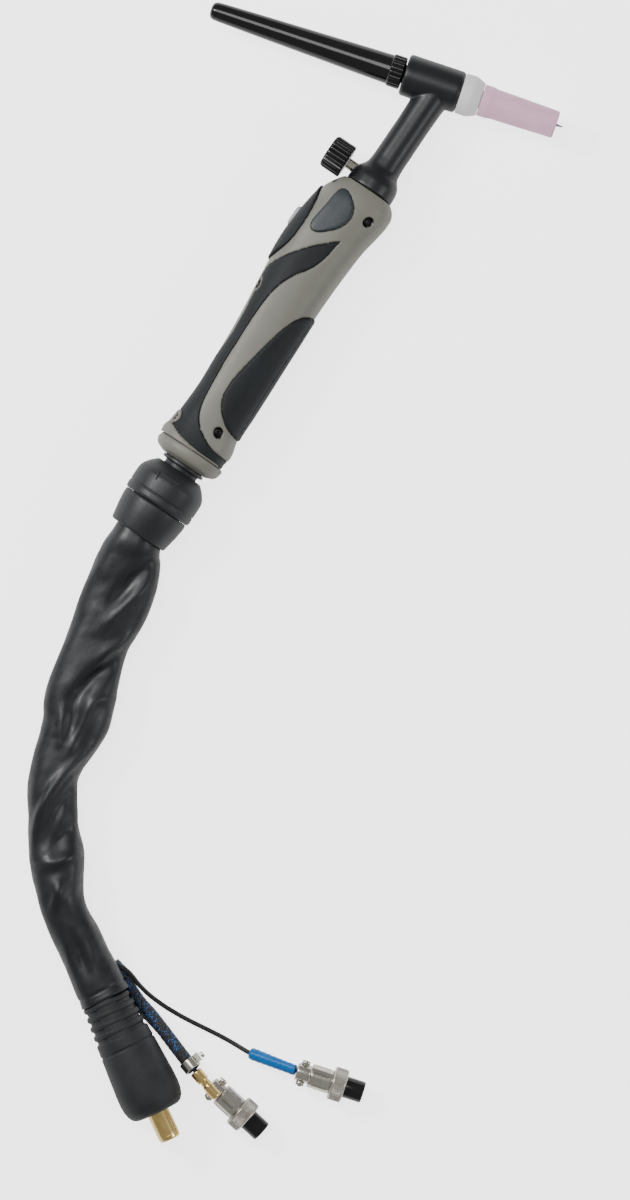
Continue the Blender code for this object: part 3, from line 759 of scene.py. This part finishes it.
# Centre line of the sleeve, as in the CAD. The sleeve runs on a little past both ends.
COVER_ROUTE = [
    (1.5, -58.2, 20.3), (2.8, -63.4, 19.8), (4.8, -69.2, 19.2), (7.8, -79.2, 18.2), (10.4, -90.6, 17.0),
    (12.7, -102.6, 16.2), (14.9, -115.2, 15.8), (17.8, -126.5, 15.7), (21.2, -137.5, 15.7),
    (25.0, -148.5, 15.7),
    (29.6, -159.3, 15.7), (32.0, -171, 15.7), (34.0, -182.7, 15.7), (37.4, -194, 15.7), (43.0, -204, 15.7),
    (49.8, -213, 15.7), (57.0, -221.5, 15.7), (64.2, -230, 15.7), (71.3, -239, 15.7), (79.0, -247.5, 15.7),
    (88.6, -254.5, 15.8), (99.6, -260.6, 15.9), (110.8, -267.6, 16.1), (121.8, -274.2, 16.4),
]
# Half width of the sleeve by distance from its start inside the cuff.
COVER_WIDTH = np.array([
    (0, 13.3), (5, 13.9), (10, 15.2), (16, 17.0), (29, 19.3), (41, 20.0), (51.5, 19.6), (64, 18.1),
    (76, 18.0),
    (88, 18.8), (100, 20.0), (112, 19.6), (124, 17.5), (136.5, 15.2), (148, 13.8), (159.5, 13.8),
    (171, 13.4), (182, 14.6), (193.5, 15.6), (205, 14.6), (216.5, 13.2), (228.5, 12.6), (242, 13.2),
    (256, 13.4), (270, 13.3),
    ])
SLEEVE_HALF_HEIGHT, SLEEVE_END_WIDTH = 13.4, 14.3
SLEEVE_POWER = 2.25
FOLD_POINTS = 60
SLEEVE_LOWEST = 0.4
# Folds pressed into the cloth: depth (up is positive), half width, and the line they follow.
FOLDS = [
    (-4.4, 3.6, [(17, -57), (14, -72), (12, -87), (11, -100)]),
    (1.8, 2.6, [(20, -72), (19, -81), (16, -91), (14, -104), (12, -113)]),
    (1.6, 2.6, [(29, -100), (26, -110), (23, -117), (22, -126)]),
    (-4.6, 3.2, [(30, -114), (28, -125), (24, -139), (22, -156)]),
    (2.4, 2.4, [(41, -137), (34, -142), (32, -146), (33, -156), (35, -168), (37, -181)]),
    (-3.0, 4.4, [(24, -146), (27, -155), (31, -165), (33, -173)]),
    (1.8, 2.4, [(19, -155), (25, -165), (32, -177)]),
    (3.0, 2.6, [(46.5, -163), (42, -179), (40.4, -191), (41.3, -207), (43.7, -219), (48.7, -232)]),
    (2.0, 2.2, [(45, -186), (47, -201), (50, -215), (51, -230)]),
    (-3.8, 2.8, [(46.6, -190), (48.5, -205), (50.7, -221), (52.5, -232.5)]),
    (-3.2, 4.4, [(61.2, -205), (60.2, -217), (57.7, -230)]),
    (1.8, 2.6, [(46, -186), (54, -194), (60, -204), (70, -213)]),
    (1.7, 3.0, [(58, -237.5), (66, -229), (73.4, -218.3)]),
    (1.4, 5.0, [(69, -235.8), (73, -242), (76.7, -249)]),
    (2.0, 2.4, [(71, -236), (76, -245), (78, -256)]),
    (-2.2, 2.6, [(91.5, -256.8), (100, -262.6), (108, -268.1), (119.8, -277)]),
]


def waves(run, angle, seed):
    """Small rounded wrinkles that run mostly along the sleeve. Sums of sines stand for noise."""
    total = np.zeros_like(run)
    draw = np.random.default_rng(seed)
    for _ in range(14):
        along, around = draw.uniform(0.06, 0.30), draw.integers(1, 7)
        phase, tilt = draw.uniform(0, math.tau, 2)
        total += np.sin(run * along + around * angle + phase + 1.4 * np.sin(run * 0.07 + tilt))
    return total / math.sqrt(14)


def make_cable_cover():
    """Folded cloth sleeve. Its surface starts as a flattened tube and the folds are pressed in."""
    route = [(0, -48.5, 20.8), (0.5, -53.4, 20.7)] + COVER_ROUTE + [(130.6, -279.2, 16.7)]
    rows, sides = 470, 176
    line, run = spline(route, rows)
    side, up = frames_along(line)
    angle = np.linspace(0, math.tau, sides, endpoint=False)
    half_width = cubic(COVER_WIDTH, 1, run)
    half_height = np.full_like(run, SLEEVE_HALF_HEIGHT)
    into_cuff = 1 - ease(run, 3, 18)
    half_height = half_height * (1 - into_cuff) + half_width * into_cuff
    to_boot = ease(run, run[-1] - 26, run[-1] - 4)
    half_width = half_width * (1 - to_boot) + SLEEVE_END_WIDTH * to_boot
    half_height = half_height * (1 - to_boot) + SLEEVE_HALF_HEIGHT * to_boot
    power = 2 / SLEEVE_POWER
    c = np.sign(np.cos(angle)) * np.abs(np.cos(angle)) ** power
    s = np.sign(np.sin(angle)) * np.abs(np.sin(angle)) ** power
    grid_run, grid_angle = np.meshgrid(run, angle, indexing="ij")
    points = (line[:, None] + side[:, None] * (half_width[:, None] * c)[..., None]
        + up[:, None] * (half_height[:, None] * s)[..., None])
    outward_way = side[:, None] * (c / half_width[:, None])[..., None] + up[:,
        None] * (s / half_height[:, None])[..., None]
    outward_way /= np.linalg.norm(outward_way, axis=-1, keepdims=True)
    amount = 0.20 * waves(grid_run * 0.8, grid_angle, 7) + 0.06 * waves(grid_run * 2.6, grid_angle, 11)
    amount -= 0.22 * np.maximum(0, waves(grid_run * 0.7, grid_angle, 5) - 0.6)
    ends = (1 - into_cuff) * (1 - to_boot)
    top = ease(points[..., 2] - line[:, None, 2], -4.0, 4.0)
    for depth, width, places in FOLDS:
        fold, _ = spline([(x, y, 0) for x, y in places], FOLD_POINTS)
        reach = np.full(grid_run.shape, 1e9)
        part = np.zeros(grid_run.shape)
        for k, (x, y, _) in enumerate(fold):
            distance = np.hypot(points[..., 0] - x, points[..., 1] - y)
            closer = distance < reach
            reach[closer] = distance[closer]
            part[closer] = k / (FOLD_POINTS - 1)
        taper = ease(part, -0.12, 0.42) * (1 - ease(part, 0.58, 1.12))
        past_end = np.where((part <= 0) | (part >= 1), 0.55, 1.0)
        spread = width * (1.25 if depth < 0 else 1.0)
        amount += depth * taper * np.exp(-(reach / spread / past_end) ** 2) * top
    for _ in range(6):
        amount = (np.roll(amount, 1, 1) + 2 * amount + np.roll(amount, -1, 1)) / 4
        amount[1:-1] = (amount[:-2] + 2 * amount[1:-1] + amount[2:]) / 4
    amount *= (0.15 + 0.85 * ends)[:, None]
    from_end = run - run[-1]
    hem = np.exp(-((from_end + 5.0) / 0.8) ** 2) * -0.5 + np.exp(-((from_end + 1.0) / 1.2) ** 2) * 0.35
    points += outward_way * (amount + hem[:, None])[..., None]
    points[..., 2] = np.maximum(points[..., 2], SLEEVE_LOWEST + 0.25 * np.sin(grid_run * 0.21) ** 2)
    mesh = mesh_from("cover_sleeve", [at(p) for p in points.reshape(-1, 3)], tube_faces(rows, sides), None)
    obj = add_piece("cover_sleeve", mesh, "cover_cloth", "cable_cover")
    thicken(obj, "cloth", SLEEVE_THICKNESS)
    return obj, line


# ---------------------------------------------------------------- power plug

def make_plug():
    rows = [(0, 10.6), (0.5, 11.7), (1.8, 12.5), (4.4, 13.0)]
    for rib in range(5):
        start = 5 + rib * 5.4
        base = 12.7 + 0.085 * (start + 2)
        rows += [(start, base + 0.2), (start + 1.0, base - 1.0), (start + 2.4, base - 1.0),
            (start + 3.4, base + 0.5)]
    rows += [(33.4, 15.8), (36.0, 16.1), (36.6, 15.6), (37.4, 15.6), (38.0, 16.2), (48, 16.9), (60, 17.7),
        (66, 17.8), (70, 17.4), (73.4, 16.4), (75.8, 14.8), (77, 12.8), (77, 9.5), (75.8, 8.8),
        (75.8, 6.6), (14, 6.6), (14, 0)]
    up = Z_AXIS.rotation_difference(BOOT_AXIS).inverted() @ Z_AXIS
    top = math.atan2(up.y, up.x)

    def band(height, r, angle):
        """Fill the grooves along the top, so that a plain band breaks the ribs."""
        if not 4 < height < 34 or r < 9:
            return r
        away = abs((angle - top + math.pi) % math.tau - math.pi)
        base = 12.7 + 0.085 * (height + 0.2)
        return r + (base - r) * (1 - ease(away, 0.34, 0.48)) if r < base else r

    turned("boot_moulding", [(0, 0)] + rows, "rubber", "plug_boot", BOOT_TOP, BOOT_AXIS, 0.45, 144,
        shape=band)
    pin = turned("pin_turned", [(22, 0), (22, 6.2), (90.5, 6.2), (91.2, 6.15), (93.2, 5.9), (94, 5.2),
        (94, 3.3), (93.4, 2.9), (80, 2.9), (80, 0)],
        "brass", "plug_pin", BOOT_TOP, BOOT_AXIS, 0.4)
    slot = block("pin_slot", (2.2, 4.4, 15.0), BOOT_TOP + BOOT_AXIS * 84 + Vector((0, 0, 6.0)), BOOT_AXIS)
    cut(pin, slot)


def block(name, size, centre, axis):
    """A plain box laid along an axis, used only as a cutting tool."""
    axis = Vector(axis).normalized()
    side = axis.cross(Z_AXIS).normalized()
    up = side.cross(axis)
    turn = Matrix((side, up, axis)).transposed().to_4x4()
    to_metres = Matrix.Scale(MM, 4) @ Matrix.Translation(Vector(centre) + SHIFT)
    place = to_metres @ turn @ Matrix.Diagonal((*size, 1))
    mesh = bpy.data.meshes.new(name)
    edit(mesh, lambda bm: bmesh.ops.create_cube(bm, size=1.0),
        lambda bm: bmesh.ops.transform(bm, matrix=place, verts=bm.verts), recalculate)
    return link(name, mesh)


# ---------------------------------------------------------------- swept leads

def sweep(name, line, section):
    """Carry a closed section of (sideways, up) points along a line and cap both ends."""
    side, up = frames_along(line)
    section = np.array(section)
    points = (line[:, None] + side[:, None] * section[None, :, :1] + up[:, None] * section[None, :, 1:])
    rows, sides = points.shape[:2]
    faces = tube_faces(rows, sides)
    faces += [list(range(sides)), list(range((rows - 1) * sides, rows * sides))[::-1]]
    mesh = mesh_from(name, [at(p) for p in points.reshape(-1, 3)], faces, 40)
    outward(mesh)
    return mesh


HOSE_ROUTE = [
    (123.5, -261.5, 8.5), (132.4, -263.8, 6.7), (139, -267.9, 6.8), (147.5, -271.2, 8.0),
    (157, -273.4, 10.2), (166, -276.0, 12.9),
    (175.5, -279.0, 15.6), (186, -282.2, 18.4), (194.0, -284.5, 20.0),
]
WIRE_ROUTES = {
    1: [(124.0, -260.5, 13.5), (132.8, -260.4, 11.6), (142.5, -263.6, 7.6), (151, -265.4, 4.4),
    (160, -266.0, 2.4), (168, -265.8, 1.7),
    (176, -265.1, 1.6), (186, -263.8, 1.6), (195, -262.6, 1.7), (203, -261.8, 2.1), (209, -261.4, 2.8),
    (214.8, -260.9, 3.9), (222, -259.1, 5.4), (230, -257.1, 7.1), (240, -254.5, 9.2)],
    2: [(130, -268.5, 1.7), (140, -273.0, 1.7), (152, -276.4, 1.7), (165, -279.5, 1.8), (178, -282.8, 2.6),
    (190, -285.3, 5.2), (198, -286.3, 8.0), (206.0, -287.1, 9.6)],
}
HOSE_R = 3.75
STRAND_HALF_WIDTH = 0.82
STRANDS, PITCH = 12, 21.0
BLUE_SHARE = 0.13


def make_hose():
    """Braided sleeve: twelve flat strands each way, woven over and under each other."""
    line, run = spline(HOSE_ROUTE, 420)
    side, up = frames_along(line)
    core = sweep("hose_core", line[::6], [((HOSE_R - 0.55) * math.cos(a), (HOSE_R - 0.55) * math.sin(a))
        for a in np.linspace(0, math.tau, 32, endpoint=False)])
    points = [Vector(v.co) for v in core.vertices]
    faces = [list(p.vertices) for p in core.polygons]
    colours = [0] * len(faces)
    draw = np.random.default_rng(3)
    for way in (1, -1):
        for strand in range(STRANDS):
            turn = math.tau * strand / STRANDS + way * math.tau * run / PITCH
            weave = np.cos(STRANDS * (run * math.tau / PITCH) + way * strand * math.pi)
            reach = HOSE_R - 0.32 + 0.16 * way * weave
            base = len(points)
            across = ((-1, 0.0), (-0.6, 0.17), (0, 0.24), (0.6, 0.17), (1, 0.0), (0, -0.16))
            for offset, lift in across:
                a = turn + offset * STRAND_HALF_WIDTH / HOSE_R
                r = reach + lift
                ring = line + side * (r * np.cos(a))[:, None] + up * (r * np.sin(a))[:, None]
                points += [at(p) for p in ring]
            count = len(run)
            flecks = (draw.random(count // 7 + 1) < BLUE_SHARE).astype(int)
            for k in range(len(across)):
                a, b = base + k * count, base + (k + 1) % len(across) * count
                for row in range(count - 1):
                    faces.append([a + row, a + row + 1, b + row + 1, b + row])
                    colours.append(int(flecks[row // 7]))
            faces.append([base + k * count for k in range(len(across))])
            faces.append([base + k * count + count - 1 for k in range(len(across))][::-1])
            colours += [0, 0]
    bpy.data.meshes.remove(core)
    mesh = bpy.data.meshes.new("hose_braid")
    mesh.from_pydata([tuple(p) for p in points], [], faces)
    mesh.materials.append(MATERIALS["braid_black"])
    mesh.materials.append(MATERIALS["braid_blue"])
    mesh.polygons.foreach_set("material_index", np.array(colours, np.int32))
    mesh.shade_smooth()
    edit(mesh, recalculate)
    return add_piece("hose_braid", mesh, "braid_black", "gas_hose"), line


def make_gas_end():
    end = Vector(HOSE_ROUTE[-1])
    line, _ = spline(HOSE_ROUTE, 80)
    ahead = Vector(line[-1] - line[-2]).normalized()
    band = turned("clamp_band", [(-6.6, 4.15), (-6.6, 4.9), (-6.4, 5.05), (-0.8, 5.05), (-0.6, 4.9),
        (-0.6, 4.15)], "nickel", "hose_clamp", end, ahead, 0.2)
    middle = end - ahead * 3.6
    screw_way, lift = Vector((0.25, 0.965, 0)), Vector((0, 0, 0.6))
    ear = block("ear", (2.6, 3.4, 5.0), middle + Vector((1.0, 6.0, 0.6)), ahead)
    cut(band, ear, kind="UNION")
    screw = turned("clamp_screw_head", [(8.1, 0), (8.1, 1.7), (9.5, 1.7), (10.0, 1.3), (10.0, 0)], "nickel",
        "clamp_screw", middle + lift, screw_way, 0.2, 48)
    cut(screw, block("slot", (0.5, 5, 0.9), middle + screw_way * 10.0 + lift, screw_way))
    turned("fitting_turned",
        [(1.0, 0), (1.0, 2.9), (1.4, 3.4), (2.0, 3.5), (7.4, 3.5), (8, 3.3), (8.5, 2.5), (11, 2.5),
        (11.6, 2.9), (12.2, 3.0), (18.8, 3.0), (19.5, 2.8), (19.8, 2.4), (19.8, 1.7), (12, 1.6), (12, 0)],
        "brass", "gas_fitting", end, FITTING_AXIS, 0.2, 64)


def make_wires():
    section = []
    for a in np.linspace(0, math.tau, 24, endpoint=False):
        waist = 0.17 * math.exp(-(math.cos(a) / 0.35) ** 2)
        section.append((1.35 * math.cos(a), 0.92 * math.sin(a) * (1 - waist)))
    made = {}
    for number, route in WIRE_ROUTES.items():
        line, _ = spline(route, 150)
        mesh = sweep(f"wire_{number}", line, section)
        made[number] = (add_piece(f"wire_{number}", mesh, "wire_black", f"control_wire_{number}"), line)
    return made


def make_shrink():
    end = CONNECTORS[1][0] - CONNECTORS[1][1] * 0.3
    length = (end - SHRINK_START).length

    def ripple(height, r, angle):
        squashed = 1 - 0.16 * abs(math.sin(angle + 0.6)) * float(ease(height, 1, length - 3))
        return r * squashed + 0.10 * math.sin(height * 1.9 + 3 * angle) * (r > 2.8)

    profile = [(0, 0), (0, 2.3), (0.4, 2.9), (1.2, 3.3)] + [(1.2 + 0.7 * k, 3.45) for k in range(1, 40)
        if 1.2 + 0.7 * k < length - 1.0]
    profile += [(length - 0.5, 3.4), (length - 0.2, 3.0), (length - 0.2, 0)]
    turned("shrink_tube", profile, "shrink_blue", "heat_shrink", SHRINK_START, end - SHRINK_START, 0.3, 64,
        shape=ripple)


def make_connector(number, origin, axis):
    side = axis.cross(Z_AXIS).normalized()
    name = f"connector_{number}"
    clamp = turned(f"clamp_{number}", [(0, 0), (0, 4.1), (0.4, 4.8), (1.0, 5.1), (7.0, 5.1), (7.6, 4.9),
        (7.6, 0)], "nickel", f"{name}_clamp", origin, axis, 0.2, 64)
    lug = block("lug", (14.4, 4.4, 4.6), origin + axis * 3.9, axis)
    edge = lug.modifiers.new("edge", "BEVEL")
    edge.width = 0.5 * MM
    edge.segments = 3
    bake(lug)
    cut(clamp, lug, kind="UNION")
    holes = []
    for index, sign in ((1, 1), (2, -1)):
        place = origin + axis * 3.9 + side * (sign * 6.0)
        hole = bpy.data.meshes.new("hole")
        edit(hole, lambda bm: bmesh.ops.create_cone(
            bm, cap_ends=True, segments=24, radius1=1.1, radius2=1.1, depth=10,
            matrix=turn_frame(place, Z_AXIS)))
        holes.append(link("hole", hole))
        screw = turned(f"screw_{number}_{index}",
            [(-1.8, 0), (-1.8, 0.8), (2.6, 0.8), (2.6, 1.6), (3.3, 1.7), (3.8, 1.4), (4.0, 0.8), (4.0, 0)],
            "nickel", f"{name}_screw_{index}", place, Z_AXIS, 0.2, 40)
        cut(screw, block("cross_a", (4.4, 0.9, 0.45), place + Vector((0, 0, 4.0)), axis),
            block("cross_b", (0.45, 0.9, 4.4), place + Vector((0, 0, 4.0)), axis))
    cut(clamp, *holes)

    def slots(height, r, angle):
        if 9.8 < height < 18.6 and r > 6.5:
            return r - 0.9 * (math.cos(angle * 6 + 0.4) > 0.80)
        return r

    def knurl(height, r, angle):
        if 21.7 < height < 27.7 and r > 8.8:
            one = abs(math.sin(angle * 26 + height * 1.5))
            two = abs(math.sin(angle * 26 - height * 1.5))
            return r - 0.42 * (1 - min(one, two)) ** 2
        return r

    turned(f"body_{number}", [(7.9, 0), (7.9, 6.2), (8.4, 6.8), (9.7, 6.8), (9.9, 6.8), (18.5, 6.8),
        (18.7, 6.8), (20.2, 6.8), (20.4, 6.3), (26.8, 6.3), (26.8, 0)],
        "nickel", f"{name}_body", origin, axis, 0.1, 144, shape=slots)
    turned(f"ring_{number}", [(20.8, 6.7), (20.8, 8.8),
        (21.3, 9.4)] + [(21.6 + 0.2 * k, 9.5) for k in range(32)]
        + [(28.1, 9.4), (28.6, 8.8), (28.6, 6.7)],
        "nickel_knurl", f"{name}_ring", origin, axis, 0.1, 312, shape=knurl, sharp=50)
    insert = turned(f"insert_{number}", [(27.1, 0), (27.1, 6.1), (38.8, 6.1), (39.4, 5.6), (39.4, 0)],
        "gloss_black", f"{name}_insert", origin, axis, 0.2, 72)
    tools = [block("key", (3.4, 3.4, 22), origin + axis * 41 + side * 6.9, axis)]
    for step in range(6):
        spin = math.tau * step / 6
        place = origin + axis * 39.4 + side * (3.4 * math.cos(spin)) + Vector((0, 0, 3.4 * math.sin(spin)))
        tools.append(block("pin", (1.2, 1.2, 4), place, axis))
    cut(insert, *tools)


# ---------------------------------------------------------------- handle screws

def make_handle_screws():
    """Cross-head screws at the bottom of the wells."""
    for number, (x, height) in enumerate(SCREW_PLACES, 1):
        angle = np.array([skin_angle(x, height)])
        here = Vector(skin(angle, np.array([height]))[0])
        normal = (Vector(skin(angle, np.array([height]), 1.0)[0]) - here).normalized()
        screw = turned(f"handle_screw_{number}",
            [(-8.5, 0), (-8.5, 1.2), (-3.6, 1.2), (-3.6, 2.6), (-2.4, 2.7), (-1.6, 2.3), (-1.25, 1.2),
            (-1.2, 0)], "screw_steel", f"handle_screw_{number}", here, normal, 0.25, 48)
        top = here + normal * -1.2
        cut(screw, block("cross_a", (2.7, 0.6, 1.8), top, normal),
            block("cross_b", (0.6, 2.7, 1.8), top, normal))


# ---------------------------------------------------------------- floor, light and camera

PICTURE_UP = Vector((-0.559, 0.829, 0))
PICTURE_RIGHT = Vector((0.829, 0.559, 0))
GLOW_ON_TORCH, GLOW_TO_CAMERA = 0.55, 2.6
FLOOR = 40  # half its side, in metres
CAMERA_DISTANCE, CAMERA_FIELD = 2.2, 0.678


def make_stage():
    """White floor and three soft lights. The floor glows less on the torch than it does to the camera."""
    floor_mesh = mesh_from("floor", [(-FLOOR, -FLOOR, 0), (FLOOR, -FLOOR, 0), (FLOOR, FLOOR, 0),
        (-FLOOR, FLOOR, 0)], [(0, 1, 2, 3)], None)
    floor = link("floor", floor_mesh)
    material, tree, shader = new_material("paper_white", (0.93, 0.93, 0.93), 0.75, specular=0.2)
    tree.links.new(ramp(tree, noise(tree, 900, 2), (0.925,) * 3, (0.935,) * 3), shader.inputs["Base Color"])
    shader.inputs["Emission Color"].default_value = (1, 1, 1, 1)
    seen = tree.nodes.new("ShaderNodeLightPath")
    glow = tree.nodes.new("ShaderNodeMapRange")
    glow.inputs["To Min"].default_value = GLOW_ON_TORCH
    glow.inputs["To Max"].default_value = GLOW_TO_CAMERA
    tree.links.new(seen.outputs["Is Camera Ray"], glow.inputs["Value"])
    tree.links.new(glow.outputs["Result"], shader.inputs["Emission Strength"])
    floor_mesh.materials.append(material)

    world = bpy.data.worlds.new("studio")
    bpy.context.scene.world = world
    world.use_nodes = True
    world.node_tree.nodes["Background"].inputs["Color"].default_value = (1, 1, 1, 1)
    world.node_tree.nodes["Background"].inputs["Strength"].default_value = 0.30

    target = at((60, -20, 0))
    for name, place, size, power in (
            ("key", PICTURE_RIGHT * -1.0 + PICTURE_UP * 0.7 + Z_AXIS * 1.15, 0.45, 17.0),
            ("fill", PICTURE_RIGHT * 1.3 + PICTURE_UP * -0.4 + Z_AXIS * 1.0, 0.6, 5.0),
            ("top", PICTURE_RIGHT * -0.25 + PICTURE_UP * 0.45 + Z_AXIS * 1.7, 0.8, 8.0)):
        light = bpy.data.lights.new(name, "AREA")
        light.energy = power
        light.shape = "DISK"
        light.size = size
        lamp = link(name, light)
        lamp.location = target + place
        lamp.rotation_euler = (-place).to_track_quat("-Z", "Y").to_euler()


def make_camera():
    camera = bpy.data.cameras.new("photo_camera")
    camera.sensor_fit = "VERTICAL"
    camera.sensor_height = 24
    camera.lens = camera.sensor_height * CAMERA_DISTANCE / CAMERA_FIELD
    camera.clip_start, camera.clip_end = 0.1, 20
    obj = link("photo_camera", camera)
    up = PICTURE_UP.normalized()
    right = up.cross(Z_AXIS)
    obj.matrix_world = Matrix.Translation(at((103.0, -28.5, 0)) + Z_AXIS * CAMERA_DISTANCE) @ Matrix(
        (right, up, Z_AXIS)).transposed().to_4x4()
    bpy.context.scene.camera = obj


# ---------------------------------------------------------------- building it all


for node, material in (
        ("power_cable_core", "copper"), ("neck_tube", "copper"), ("head_core", "brass"),
        ("collet_body", "copper"), ("collet", "copper"), ("electrode", "tungsten"), ("cap_oring", "rubber"),
        ("microswitch", "gloss_black"), ("potentiometer", "nickel"), ("cable_lug", "copper")):
    paint_node(node, material)

make_handle_skin()
make_flange()
make_button()
make_head_cover()
make_cup_and_insulator()
make_back_cap()
make_knob()
make_knuckle()
make_handle_screws()
make_plug()
make_gas_end()
make_shrink()
for number, (origin, axis) in CONNECTORS.items():
    make_connector(number, origin, axis)

pieces = bpy.data.objects
sleeve, sleeve_line = make_cable_cover()
hose, hose_line = make_hose()
for number, (wire, line) in make_wires().items():
    extra = [pieces["shrink_tube"]] if number == 1 else []
    extra += [pieces[f"{name}_{number}"] for name in ("clamp", "body", "ring", "insert")]
    extra += [pieces[f"screw_{number}_{index}"] for index in (1, 2)]

make_stage()
make_camera()
